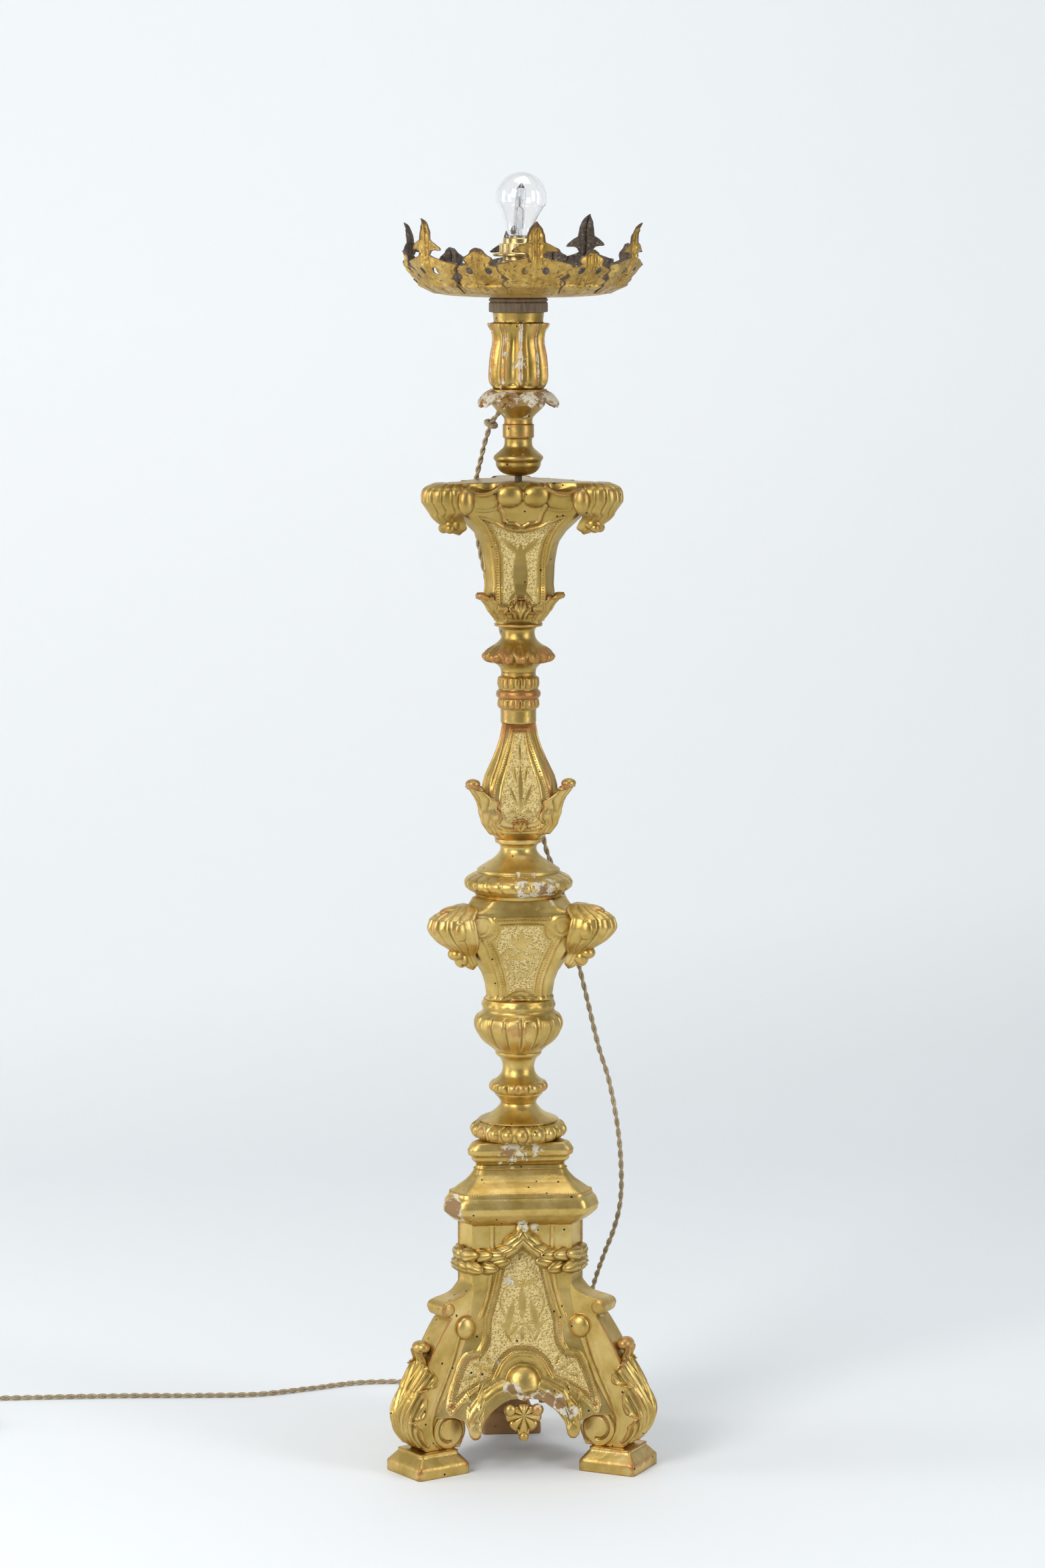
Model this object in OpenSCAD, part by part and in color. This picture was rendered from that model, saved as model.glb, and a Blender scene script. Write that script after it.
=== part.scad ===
// Torchere candle stand of carved and gilt wood on three scroll legs, wired as a lamp.
// The origin is on the column's axis at the floor; the front panel faces -Y.

/* [Feet] */
// Side of a square foot block
foot_side = 67; // [60:1:72]
// Height of a foot block
foot_h = 26; // [22:1:32]
// Height of the plain band round a foot block
foot_band = 11; // [7:1:14]
// Distance of a foot's centre from the column axis
foot_r = 121.5; // [116:0.5:128]

/* [Base] */
// Height of the base's top above the floor
base_top = 272; // [264:1:290]
// Thickness of a scroll leg
leg_t = 30; // [26:1:34]
// Distance of a leg's outer edge from the axis at the neck
neck_r = 70; // [66:1:74]
// Distance of a leg's inner edge from the axis
leg_in = 36; // [32:1:38]
// Radius of the lower volute of a leg
volute_r = 19.5; // [17:0.5:21]
// Radius of the upper boss of a leg
boss_r = 15; // [12:0.5:16]
// Height of volutes and bosses over the leg's side
boss_rise = 3; // [2:0.5:4]
// Thickness of an apron panel
apron_t = 9; // [7:0.5:11]
// Height of an arch over the floor at its crest
arch_h = 80; // [74:1:86]
// Width of the raised rim along an arch
rim_w = 8; // [5:0.5:10]
// Depth of the sunk field of an apron panel
field_deep = 2.5; // [1:0.5:4]
// Radius of the half dome over an arch
dome_r = 18; // [14:1:20]
// Height of a shell pendant
pendant_h = 43; // [36:1:46]
// Thickness of the leaf on a leg's outer edge
leg_leaf_t = 8; // [5:0.5:10]
// Thickness of the garland
garland_t = 10; // [7:0.5:13]

/* [Column] */
// Height of the ovolo cap
cap_h = 63; // [56:1:70]
// Height of the plinth moulding
plinth_h = 25; // [21:1:30]
// Height of the egg torus and its scotia
torus_h = 40; // [36:1:46]
// Height of the turned spool
spool_h = 57; // [50:1:64]
// Height of the gadrooned cup
gadroon_h = 59; // [54:1:66]
// Number of gadroons round the cup
gadroons = 16; // [12:1:20]
// Height of the mid vase
mid_h = 114; // [106:1:124]
// Height of the gadroon ring and its neck
ring_h = 64; // [58:1:70]
// Height of the pear baluster
pear_h = 127; // [118:1:136]
// Height of the reeded collars
collar_h = 56; // [50:1:62]
// Height of the leaf ring
leafring_h = 53; // [48:1:58]
// Height of the upper vase
vase_h = 156; // [148:1:166]
// Radius of the turned spigots that join the sections
spigot_r = 9; // [7:0.5:11]
// Length of a spigot
spigot_h = 12; // [8:1:16]
// Clearance round a spigot, tube or pin in its hole
fit = 0.2; // [0.1:0.05:0.3]

/* [Candle section] */
// Radius of the iron pin
pin_r = 4; // [3:0.5:5]
// Gap between the upper vase and the knop
pin_gap = 5; // [2:0.5:10]
// Depth of the pin in the wood at each end
pin_deep = 26; // [18:1:32]
// Height of the turned knop
knop_h = 56; // [50:1:62]
// Height of the petal flange
flange_h = 38; // [34:1:44]
// Reach of the petals from the axis
petal_r = 42; // [38:0.5:46]
// Number of petals
petals = 10; // [8:1:12]
// Height of the reeded cup
cup_h = 83; // [76:1:90]
// Number of reeded leaves round the cup
reeds = 12; // [10:1:14]
// Height of the top disc
disc_h = 16; // [12:1:20]
// Radius of the top disc
disc_r = 32; // [30:0.5:35]

/* [Crown] */
// Thickness of the sheet metal
sheet_t = 1; // [0.8:0.1:1.4]
// Sideways shift of the pan on its tube
pan_shift = 5; // [0:0.5:6]
// Radius of the crown at its widest
crown_r = 131; // [124:1:138]
// Height of the pan's rim over its bottom
pan_rise = 13; // [10:0.5:16]
// Height of the tall leaves over the pan's rim
tall_h = 69; // [60:1:80]
// Height of the low leaves over the pan's rim
low_h = 39; // [32:1:46]
// Diameter of the holes in the leaves
leaf_hole_d = 7.5; // [5:0.5:9]

/* [Lampholder] */
// Radius of the threaded tube
tube_r = 5; // [4:0.5:6]
// Height of the lock nut
nut_h = 5; // [4:0.5:8]
// Radius of the lampholder's shell
shell_r = 16.7; // [16.2:0.1:17.5]
// Height of the lampholder's cap
holder_cap_h = 34; // [30:1:38]
// Height of the shell over the cap
shell_h = 24; // [22:0.5:28]
// Radius of the shade ring's flange
ring_r = 27.5; // [25:0.5:30]
// Running clearance of the shade ring and the bulb
run = 0.3; // [0.2:0.05:0.5]

/* [Bulb] */
// Radius of the glass
glass_r = 27.5; // [24:0.5:30]
// Height of the glass over its seat in the cap
glass_h = 72; // [66:1:78]
// Wall of the glass
glass_t = 0.8; // [0.6:0.1:1.2]
// Radius of the screw cap
screw_r = 13; // [12.6:0.1:13.4]
// Lean of the glass on its cap
bulb_lean = 4; // [0:0.5:5]

/* [Cord] */
// Diameter of the twisted cord
cord_d = 6; // [5:0.5:6.5]
// Radius of the outer turn of the stored coil
coil_r = 45; // [43:0.5:50]
// Distance between neighbouring turns
coil_pitch = 6.6; // [6.5:0.1:7]
// Length of the plug's body
plug_l = 36; // [30:1:42]
// Thickness of the plug's body
plug_t = 14; // [12:0.5:16]
// Radius of a plug pin
prong_r = 2; // [1.8:0.1:2.4]
// Length of a plug pin
prong_l = 19; // [16:0.5:20]

/* [Hidden] */
$fn = 72;

// directions of the three corners and of the three sides, in degrees from +X
RIGHT = 330;
BACK = 90;
LEFT = 210;
FRONT_SIDE = 270;
RIGHT_SIDE = 30;
LEFT_SIDE = 150;

// heights of the column's joints
z_plinth = base_top + cap_h;
z_torus = z_plinth + plinth_h;
z_spool = z_torus + torus_h;
z_gadroon = z_spool + spool_h;
z_mid = z_gadroon + gadroon_h;
z_ring = z_mid + mid_h;
z_pear = z_ring + ring_h;
z_collar = z_pear + pear_h;
z_leafring = z_collar + collar_h;
z_vase = z_leafring + leafring_h;
z_knop = z_vase + vase_h + pin_gap;
z_flange = z_knop + knop_h;
z_cup = z_flange + flange_h;
z_disc = z_cup + cup_h;
z_pan = z_disc + disc_h;
z_rim = z_pan + pan_rise;
z_nut = z_pan + sheet_t;
z_holder = z_nut + nut_h;
z_shell = z_holder + holder_cap_h;
z_shell_top = z_shell + shell_h;
z_bulb = z_shell - 0.4;
cord_r = cord_d / 2;

GOLD = [0.80, 0.62, 0.20];
OLIVE = [0.62, 0.50, 0.20];
BOLE = [0.66, 0.38, 0.16];
BRASS = [0.78, 0.66, 0.34];
BARE = [0.40, 0.26, 0.14];

// ---- curves and skins ----

function cr(a, b, c, d, t) =
  0.5 * (2 * b + (c - a) * t + (2 * a - 5 * b + 4 * c - d) * t * t
    + (3 * b - a - 3 * c + d) * t * t * t);

// a smooth curve through points p, with n steps to each span
function smooth(p, n) = [
  for (i = [0:len(p) - 2], k = [0:n - 1])
    cr(p[max(i - 1, 0)], p[i], p[i + 1], p[min(i + 2, len(p) - 1)], k / n),
  p[len(p) - 1]];

function rise(z0, h, outline) = [for (q = outline) [q[0], z0 + h * q[1]]];
function mirrored(p) = [for (i = [len(p) - 1:-1:0]) [-p[i][0], p[i][1]]];
function turned_point(q, a) = [q[0] * cos(a) - q[1] * sin(a), q[0] * sin(a) + q[1] * cos(a), q[2]];

// solid through rings of equal count, each counter-clockwise seen from the last ring
module skin(rings) {
  n = len(rings[0]);
  m = len(rings);
  sides = [for (i = [0:m - 2], j = [0:n - 1], s = [0, 1])
    let (a = i * n + j, b = i * n + (j + 1) % n) s == 0 ? [a, a + n, b] : [b, a + n, b + n]];
  first = [for (j = [1:n - 2]) [0, j, j + 1]];
  last = [for (j = [1:n - 2]) let (o = (m - 1) * n) [o, o + j + 1, o + j]];
  polyhedron([for (r = rings) each r], concat(sides, first, last));
}

// solid ring through rings that close on themselves
module closed_skin(rings) {
  n = len(rings[0]);
  m = len(rings);
  polyhedron([for (r = rings) each r], [for (i = [0:m - 1], j = [0:n - 1], s = [0, 1])
    let (a = i * n + j, b = i * n + (j + 1) % n, c = ((i + 1) % m) * n + j,
      d = ((i + 1) % m) * n + (j + 1) % n)
      s == 0 ? [a, c, b] : [b, c, d]]);
}

// hexagon of three long sides and three canted corners: c is the distance of a
// canted corner from the axis and e is half its width
function canted(c, e, z) = [for (a = [RIGHT, BACK, LEFT], s = [-1, 1])
  turned_point([c, s * e, z], a)];
function side_at(c, e) = c / 2 + e * sqrt(3) / 2;
module canted_loft(levels) {
  skin([for (l = levels) canted(l[1], l[2], l[0])]);
}

// round loft with n lobes: level is [z, radius, share of the radius that the lobes cut]
module lobed_loft(levels, n, steps) {
  skin([for (l = levels) [for (j = [0:n * steps - 1])
    let (a = 360 * j / (n * steps), r = l[1] * (1 - l[2] * (1 - abs(sin(n * a / 2)))))
      [r * cos(a), r * sin(a), l[0]]]]);
}

// carved piece on a corner: level is [z, inner radius, outer radius, half width]
module corner_carving(levels, ribs, cut, dir) {
  skin([for (l = levels) [for (k = [0:2 * ribs])
    let (a = -90 + 180 * k / (2 * ribs), w = k % 2 == 0 ? 1 - cut : 1)
      turned_point([l[1] + (l[2] - l[1]) * cos(a) * w, l[3] * sin(a) * w, l[0]], dir)]]);
}

module turned(outline) {
  rotate_extrude($fn = 96) polygon(outline);
}

// a section of the column: a spigot on its top, a socket in its bottom
module section(z0, h) {
  difference() {
    union() {
      children();
      translate([0, 0, z0 + h - 1]) cylinder(r = spigot_r, h = spigot_h + 1);
    }
    translate([0, 0, z0 - 1]) cylinder(r = spigot_r + fit, h = spigot_h + 1 + fit);
  }
}

// ---- base ----

module foot(dir) {
  half = foot_side / 2;
  top = half - 9;
  color(GOLD) rotate(dir) translate([foot_r, 0, 0]) intersection() {
    rotate([90, 0, 0]) linear_extrude(foot_side, center = true) foot_outline(half, top);
    rotate([90, 0, 90]) linear_extrude(foot_side, center = true) foot_outline(half, top);
  }
}

module foot_outline(half, top) {
  right = concat([[half - 1.5, 0], [half, 1.5], [half, foot_band]],
    smooth([[half - 1, foot_band + 2], [half - 5, foot_band + 7], [top, foot_h - 3], [top, foot_h]], 3));
  polygon(concat(right, mirrored(right)));
}

// outer edge of a leg, from the neck down to the foot, as [radius, height]
leg_edge = smooth([[neck_r, base_top - 62], [neck_r + 4, base_top - 70], [neck_r + 14, base_top - 78],
  [neck_r + 32, base_top - 82], [neck_r + 40, base_top - 85], [neck_r + 42, base_top - 91],
  [neck_r + 37, base_top - 97], [neck_r + 31, base_top - 100], [neck_r + 36, base_top - 107],
  [neck_r + 46, base_top - 122], [foot_r + 2.5, foot_h + 110], [foot_r + 14.5, foot_h + 84],
  [foot_r + 27, foot_h + 60], [foot_r + 33, foot_h + 42], [foot_r + 31, foot_h + 24],
  [foot_r + 20, foot_h + 7], [foot_r + 12, foot_h]], 3);
leg_edge_rising = [for (i = [len(leg_edge) - 1:-1:0]) if (leg_edge[i][1] < foot_h + 125)
  [leg_edge[i][1], leg_edge[i][0]]];

volute_at = [foot_r - 16.5, foot_h + volute_r];
boss_at = [neck_r + 11.7, base_top - 113];

// inner edge of a leg, from the foot up
leg_inner = smooth([[foot_r - 32, foot_h], [foot_r - 36, foot_h + 8], [foot_r - 37, foot_h + 24],
  [foot_r - 42, foot_h + 44], [foot_r - 55, foot_h + 70], [leg_in + 12, base_top - 150],
  [leg_in, base_top - 110]], 3);

module leg(dir) {
  color(GOLD) rotate(dir) union() {
    rotate([90, 0, 0]) linear_extrude(leg_t, center = true)
      polygon(concat([[leg_in, base_top], [neck_r, base_top]], leg_edge, leg_inner));
    leg_bosses();
  }
}

module leg_bosses() {
  for (p = [[volute_at, volute_r], [boss_at, boss_r]])
    translate([p[0][0], 0, p[0][1]]) rotate([90, 0, 0])
      cylinder(r = p[1], h = leg_t + 2 * boss_rise, center = true);
}

// distance of an apron's face from the axis, by height
apron_d = [[0, side_at(neck_r, leg_t / 2) + 30], [60, side_at(neck_r, leg_t / 2) + 26],
  [100, side_at(neck_r, leg_t / 2) + 14], [150, side_at(neck_r, leg_t / 2) + 4],
  [200, side_at(neck_r, leg_t / 2)], [base_top, side_at(neck_r, leg_t / 2)]];
function apron_at(z) = lookup(z, apron_d);

// right half of an apron's lower edge, from the crest outwards
arch_half = concat([[0, arch_h], [15, arch_h]],
  smooth([[24, arch_h - 4], [36, arch_h - 13], [44, arch_h - 23], [49, arch_h - 30]], 3));
lobe_at = [53.5, arch_h - 34];
apron_side = concat(arch_half, [lobe_at, [66, arch_h - 22], [76, arch_h - 15], [90, arch_h - 15],
  [103, arch_h - 24], [110, arch_h - 20], [62, base_top - 60], [62, base_top]]);

module apron(dir) {
  color(OLIVE) rotate(dir - FRONT_SIDE) difference() {
    union() {
      apron_slab(apron_d, apron_t) {
        polygon(concat(apron_side, mirrored(apron_side)));
        lobes();
      }
      apron_slab([for (q = apron_d) [q[0], q[1] + 3]], apron_t) arch_rim();
      translate([0, -apron_at(arch_h + 22), arch_h + 22]) half_dome();
    }
    apron_field();
    for (a = [RIGHT, LEFT]) rotate(a) leg_bosses();
  }
}

// a curved slab between the legs that follows the face d, cut to the elevation given
module apron_slab(d, t) {
  intersection() {
    rotate([90, 0, 0]) linear_extrude(300) children();
    rotate([90, 0, 90]) linear_extrude(300, center = true) polygon(concat(
      [for (q = d) [-q[1], q[0]]], [for (i = [len(d) - 1:-1:0]) [-d[i][1] + t, d[i][0]]]));
    between_legs();
  }
}

// plan of the space between the two front legs
module between_legs() {
  right = [for (r = [leg_in, 200]) [r * cos(RIGHT) - leg_t / 4, r * sin(RIGHT) - leg_t * sqrt(3) / 4]];
  linear_extrude(base_top) polygon(concat(right, mirrored(right)));
}

module lobes() {
  for (s = [-1, 1]) translate([lobe_at[0] * s, lobe_at[1]]) circle(r = rim_w + 1);
}

module arch_rim() {
  half = concat(arch_half, [for (i = [len(arch_half) - 1:-1:0])
    [arch_half[i][0] + 5 * min(1, arch_half[i][0] / 40), arch_half[i][1] + rim_w]]);
  polygon(half);
  mirror([1, 0]) polygon(half);
  lobes();
}

module half_dome() {
  intersection() {
    rotate([90, 0, 0]) rotate_extrude($fn = 48)
      polygon(concat([[0, -4], [dome_r, -4]], [for (k = [0:6]) [dome_r * cos(15 * k), 7 * sin(15 * k)]]));
    translate([-dome_r, -20, -10]) cube([2 * dome_r, 40, 10 + dome_r]);
  }
}

module apron_field() {
  half = concat([[0, arch_h + 46]], smooth([[14, arch_h + 44], [26, arch_h + 34], [34, arch_h + 18],
    [46, arch_h + 8], [58, arch_h - 4]], 3), smooth([[62, arch_h + 8], [56, arch_h + 40], [44,
      arch_h + 56], [38, arch_h + 80],
    [30, arch_h + 110], [18, base_top - 40], [0, base_top - 34]], 3));
  intersection() {
    rotate([90, 0, 0]) linear_extrude(300) {
      polygon(half);
      mirror([1, 0]) polygon(half);
    }
    rotate([90, 0, 90]) linear_extrude(300, center = true) polygon(concat(
      [for (q = apron_d) [-q[1] - 20, q[0]]],
      [for (i = [len(apron_d) - 1:-1:0]) [-apron_d[i][1] + field_deep, apron_d[i][0]]]));
  }
}

module pendant(dir) {
  y = apron_at(arch_h) - apron_t / 2;
  levels = [[0, 3, 4], [0.12, 8, 5], [0.3, 15, 7], [0.5, 20, 8], [0.62, 23, 8], [0.72, 19, 8], [0.85,
    26, 8], [1, 15, 4]];
  color(GOLD) rotate(dir) skin([for (l = levels) [for (k = [0:11])
    let (w = k % 2 == 0 ? 1 : 0.86)
      [y + l[2] * 0.5 * cos(30 * k), l[1] * sin(30 * k) * w, arch_h - pendant_h + pendant_h * l[0]]]]);
}

// rise of the leaf off the leg, and half its width, by its share of the leaf's height
leaf_rise = [[0, 0.3], [0.12, 0.7], [0.25, 1], [0.68, 0.9], [0.8, 1], [0.9, 1.7], [0.96, 1.6], [1, 0.8]];
leaf_half = [[0, 7], [0.12, 12], [0.25, 16], [0.4, 17], [0.55, 16], [0.68, 13], [0.8, 10], [1, 8]];

module leg_leaf(dir) {
  low = foot_h + 6;
  high = foot_h + 118;
  seat = [for (q = leg_edge_rising) if (q[0] > low && q[0] < high) q];
  color(GOLD) corner_carving([for (q = seat) let (s = (q[0] - low) / (high - low))
    [q[0], q[1] + 0.3, q[1] + 0.3 + leg_leaf_t * lookup(s, leaf_rise), leg_t / 30 * lookup(s,
      leaf_half)]], 4, 0.12, dir);
}

// a triangular block between the legs and the aprons
module base_core() {
  inner = side_at(neck_r, leg_t / 2) - apron_t;
  color(BARE) difference() {
    union() {
      translate([0, 0, base_top - 100]) linear_extrude(100)
        polygon([for (a = [RIGHT, BACK, LEFT]) [2 * inner * cos(a), 2 * inner * sin(a)]]);
      translate([0, 0, base_top - 1]) cylinder(r = spigot_r, h = spigot_h + 1);
    }
    for (a = [RIGHT, BACK, LEFT]) rotate(a) translate([leg_in, -leg_t / 2, base_top - 101]) cube([100,
      leg_t, 102]);
  }
}

function neck_face(a) = let (q = abs((a + 30) % 120 - 60), p = 60 - q)
  min(neck_r / cos(p), side_at(neck_r, leg_t / 2) / cos(60 - p));

module garland() {
  corner = atan(leg_t / 2 / neck_r);
  angles = [for (a = [RIGHT, BACK + 360, LEFT + 360], s = [-corner, corner, 24, 36, 48, 60, 72, 84,
    96]) a + s];
  color(GOLD) closed_skin([for (a = angles)
    let (turn = abs((a + 30) % 120 - 60), r = neck_face(a) + 0.3, lift = 24 * pow(max(0,
      (30 - turn) / 30), 1.4))
      [for (k = [0:7]) let (b = -90 + 45 * k, t = garland_t * (0.55 + 0.45 * cos(b)) * (abs(b) > 80 ?
        0.3 : 1))
        let (rr = k > 4 ? r : r + (k == 0 || k == 4 ? 1 : t),
          z = base_top - 40 + lift * 0.9 + 12 * sin(b) * (k > 4 ? 0.7 : 1))
          [rr * cos(a), rr * sin(a), z]]]);
}

// ---- column ----

module ovolo_cap() {
  levels = [[0, 72, 15.5], [0.04, 78, 16], [0.1, 83, 17], [0.2, 90, 18], [0.3, 91.5, 18.5], [0.42, 89, 18],
    [0.52, 84, 17], [0.56, 82, 16], [0.64, 75, 14], [0.74, 66, 10], [0.84, 60, 7.5], [0.94, 56, 6], [1,
      55, 5.5]];
  color(GOLD) section(base_top, cap_h)
    canted_loft([for (l = levels) [base_top + cap_h * l[0], neck_r + (l[1] - 70), l[2]]]);
}

module plinth() {
  levels = [[0, 54, 5.5], [0.12, 57, 5.5], [0.2, 59, 6], [0.34, 61, 6.2], [0.5, 65, 6.6], [0.7, 65.5, 6.6],
    [0.86, 63, 6.4], [1, 60, 6]];
  color(OLIVE) section(z_plinth, plinth_h)
    canted_loft([for (l = levels) [z_plinth + plinth_h * l[0], l[1], l[2]]]);
}

module egg_torus() {
  outline = concat([[0, 0], [44, 0]], [for (a = [-60:15:60]) [41 + 11.5 * cos(a), 0.24 + 0.26 * sin(a)]],
    [[44, 0.5], [44, 0.54]], smooth([[41, 0.58], [33, 0.66], [26, 0.78], [21, 0.92], [19.5, 1]], 3),
      [[0, 1]]);
  color(GOLD) section(z_torus, torus_h) turned(rise(z_torus, torus_h, outline));
}

module spool() {
  outline = concat([[0, 0]], smooth([[19.5, 0], [22, 0.08], [26, 0.16], [27, 0.2]], 2),
    [for (a = [-75:25:75]) [28 + 3.8 * cos(a), 0.32 + 0.1 * sin(a)]],
    smooth([[26, 0.44], [21, 0.52], [18, 0.62], [17.5, 0.74], [20, 0.86], [25, 0.95], [25.5, 1]], 3),
      [[0, 1]]);
  color(GOLD) section(z_spool, spool_h) turned(rise(z_spool, spool_h, outline));
}

module gadrooned_cup() {
  levels = [[0, 25.5, 0], [0.1, 31, 0.03], [0.2, 38, 0.07], [0.32, 43.5, 0.09], [0.45, 47.5, 0.1],
    [0.55, 48.3, 0.1],
    [0.65, 46.5, 0.08], [0.72, 42, 0.03], [0.78, 40.5, 0], [0.9, 40, 0], [1, 38.5, 0]];
  color(BOLE) section(z_gadroon, gadroon_h)
    lobed_loft([for (l = levels) [z_gadroon + gadroon_h * l[0], l[1], l[2]]], gadroons, 4);
}

mid_levels = [for (l = [[0, 37, 9], [0.08, 38.5, 9], [0.18, 40.5, 9], [0.28, 45, 9], [0.39, 54, 9.5],
  [0.5, 63, 10],
    [0.62, 69, 10], [0.75, 73.5, 11], [0.84, 75, 12], [0.88, 71, 14], [0.93, 57, 18], [1, 49, 20]])
  [z_mid + mid_h * l[0], l[1], l[2]]];

module mid_vase() {
  color(GOLD) section(z_mid, mid_h) canted_loft(mid_levels);
}

function corner_of(levels) = [for (l = levels) [l[0], l[1]]];

// share of a shell's reach by which its grooves are cut
rib_deep = 0.1;
// a ribbed shell that hangs over a corner, seated on the corner of the vase
module shell_ear(levels, body, dir) {
  color(GOLD) corner_carving([for (l = levels) let (seat = lookup(l[0], corner_of(body)) + 0.3)
    [l[0], seat + l[3], seat + l[1], l[2]]], 5, rib_deep, dir);
}

module mid_ear(dir) {
  levels = [[0.37, 10, 3, 6], [0.39, 16, 8, 4], [0.5, 18, 10, 2], [0.54, 25, 18, 0], [0.62, 36, 24, 0],
    [0.75, 42, 27, 0],
    [0.84, 38, 26, 0], [0.88, 38, 24, 0], [0.93, 42, 19, 8], [0.97, 36, 14, 18]];
  shell_ear([for (l = levels) [z_mid + mid_h * l[0], l[1], l[2], l[3]]], mid_levels, dir);
}

module gadroon_ring() {
  outline = concat([[0, 0], [47, 0], [48.5, 0.07], [54, 0.13]],
    smooth([[58, 0.18], [58.5, 0.26], [55, 0.33], [49, 0.39]], 3), [[45.5, 0.42], [45.5, 0.47]],
    smooth([[38, 0.55], [26, 0.67], [20.5, 0.78], [20, 0.86], [22, 0.91]], 3), [[25.5, 0.93], [26, 1],
      [0, 1]]);
  color(GOLD) section(z_ring, ring_h) difference() {
    turned(rise(z_ring, ring_h, outline));
    for (k = [0:23]) rotate(15 * k) translate([60.5, 0, z_ring + 0.24 * ring_h]) rotate([0, 22, 0])
      cylinder(r = 3.2, h = 0.3 * ring_h, center = true, $fn = 16);
  }
}

pear_levels = [for (l = [[0, 25.4, 6], [0.06, 34.6, 8], [0.14, 41.6, 8.5], [0.24, 45, 9], [0.36, 45,
  9], [0.48, 42.7, 8.5],
    [0.56, 39.8, 8], [0.61, 36.4, 7.5], [0.7, 30.6, 6.5], [0.79, 25.4, 5.5], [0.88, 21.4, 4.7], [1,
      18.5, 4]])
  [z_pear + pear_h * l[0], l[1], l[2]]];

module pear() {
  color(GOLD) section(z_pear, pear_h) canted_loft(pear_levels);
}

module pear_leaf(dir) {
  levels = [[0.06, 4, 6, 0], [0.14, 8, 13, 0], [0.24, 11, 16, 0], [0.36, 15, 15, 1], [0.44, 19, 12, 4],
    [0.5, 24, 9, 9],
    [0.54, 28, 7, 16], [0.56, 28, 4, 20]];
  shell_ear([for (l = levels) [z_pear + pear_h * l[0], l[1], l[2], l[3]]], pear_levels, dir);
}

module reeded_collars() {
  outline = concat([[0, 0], [19, 0], [19.5, 0.03], [19.5, 0.27], [22, 0.31], [22, 0.46]],
    [for (a = [-75:25:75]) [20.5 + 4 * cos(a), 0.57 + 0.09 * sin(a)]],
    [[21, 0.69], [21, 0.9], [19, 0.94], [19, 1], [0, 1]]);
  color(BOLE) section(z_collar, collar_h) difference() {
    turned(rise(z_collar, collar_h, outline));
    for (k = [0:23], z = [0.385, 0.795]) rotate(15 * k) translate([22.6, 0, z_collar + z * collar_h])
      cylinder(r = 1.3, h = 0.12 * collar_h, center = true, $fn = 16);
  }
}

module leaf_ring() {
  low = smooth([[19, 0], [20.5, 0.1], [27.5, 0.21], [35, 0.27]], 3);
  high = smooth([[35, 0.45], [27.5, 0.55], [20.5, 0.66], [18, 0.78], [18.3, 0.88], [21, 0.94]], 3);
  color(BOLE) section(z_leafring, leafring_h) {
    turned(rise(z_leafring, leafring_h, concat([[0, 0]], low, high, [[26, 0.95], [26.5, 1], [0, 1]])));
    lobed_loft([for (l = [[0.26, 34, 0.02], [0.3, 37.5, 0.1], [0.36, 38.5, 0.12], [0.42, 37, 0.1],
      [0.46, 34.5, 0.02]])
      [z_leafring + leafring_h * l[0], l[1], l[2]]], 12, 4);
  }
}

vase_levels = [for (l = [[0, 26, 6], [0.04, 27, 7], [0.1, 34, 9], [0.17, 38.5, 10], [0.23, 38.5, 10],
  [0.28, 37.5, 9.5],
    [0.42, 39, 9.5], [0.5, 42, 9.5], [0.58, 46, 9.5], [0.65, 54, 10], [0.69, 61, 10.5], [0.74, 70, 11],
      [0.8, 80, 11.5],
    [0.87, 87, 12], [0.97, 89, 12], [1, 87, 12]]) [z_vase + vase_h * l[0], l[1], l[2]]];

module upper_vase() {
  color(GOLD) difference() {
    section(z_vase, vase_h - spigot_h - 1) canted_loft(vase_levels);
    translate([0, 0, z_vase + vase_h - pin_deep]) cylinder(r = pin_r + fit, h = pin_deep + 1);
  }
}

module upper_ear(dir) {
  levels = [[0.655, 30, 5, 24], [0.69, 38, 9, 20], [0.74, 32, 9, 14], [0.78, 27, 15, 8], [0.8, 27, 19,
    4], [0.87, 32, 26, 0],
    [0.93, 31, 27, 0], [0.97, 26, 25, 0], [1, 18, 20, 0.5]];
  shell_ear([for (l = levels) [z_vase + vase_h * l[0], l[1], l[2], l[3]]], vase_levels, dir);
}

// ---- candle section ----

module iron_pin() {
  color("dimgray") translate([0, 0, z_knop - pin_gap - pin_deep]) cylinder(r = pin_r,
    h = 2 * pin_deep + pin_gap);
}

module knop() {
  outline = concat([[0, 0]], smooth([[6, 0], [14, 0.03], [20, 0.09], [24, 0.19], [24.5, 0.27]], 3),
    smooth([[26.7, 0.32], [26.7, 0.38], [22, 0.46], [16.5, 0.55], [15, 0.63], [15, 0.72]], 3),
    [[17, 0.75], [17, 1], [0, 1]]);
  color(OLIVE) difference() {
    union() {
      turned(rise(z_knop, knop_h, outline));
      translate([0, 0, z_flange - 1]) cylinder(r = spigot_r, h = spigot_h / 2 + 1);
    }
    translate([0, 0, z_knop - 1]) cylinder(r = pin_r + fit, h = pin_deep + 1);
  }
}

// slanting hole by which the cord leaves the flange, at its left and back
exit_at = [-15.45, 18.42, 16];
exit_turn = 130;
module cord_hole() {
  translate([exit_at[0], exit_at[1], z_flange + exit_at[2]]) rotate([0, 0, exit_turn]) rotate([0, 125, 0])
    translate([0, 0, -14]) cylinder(r = cord_r + 0.6, h = 40);
}

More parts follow.
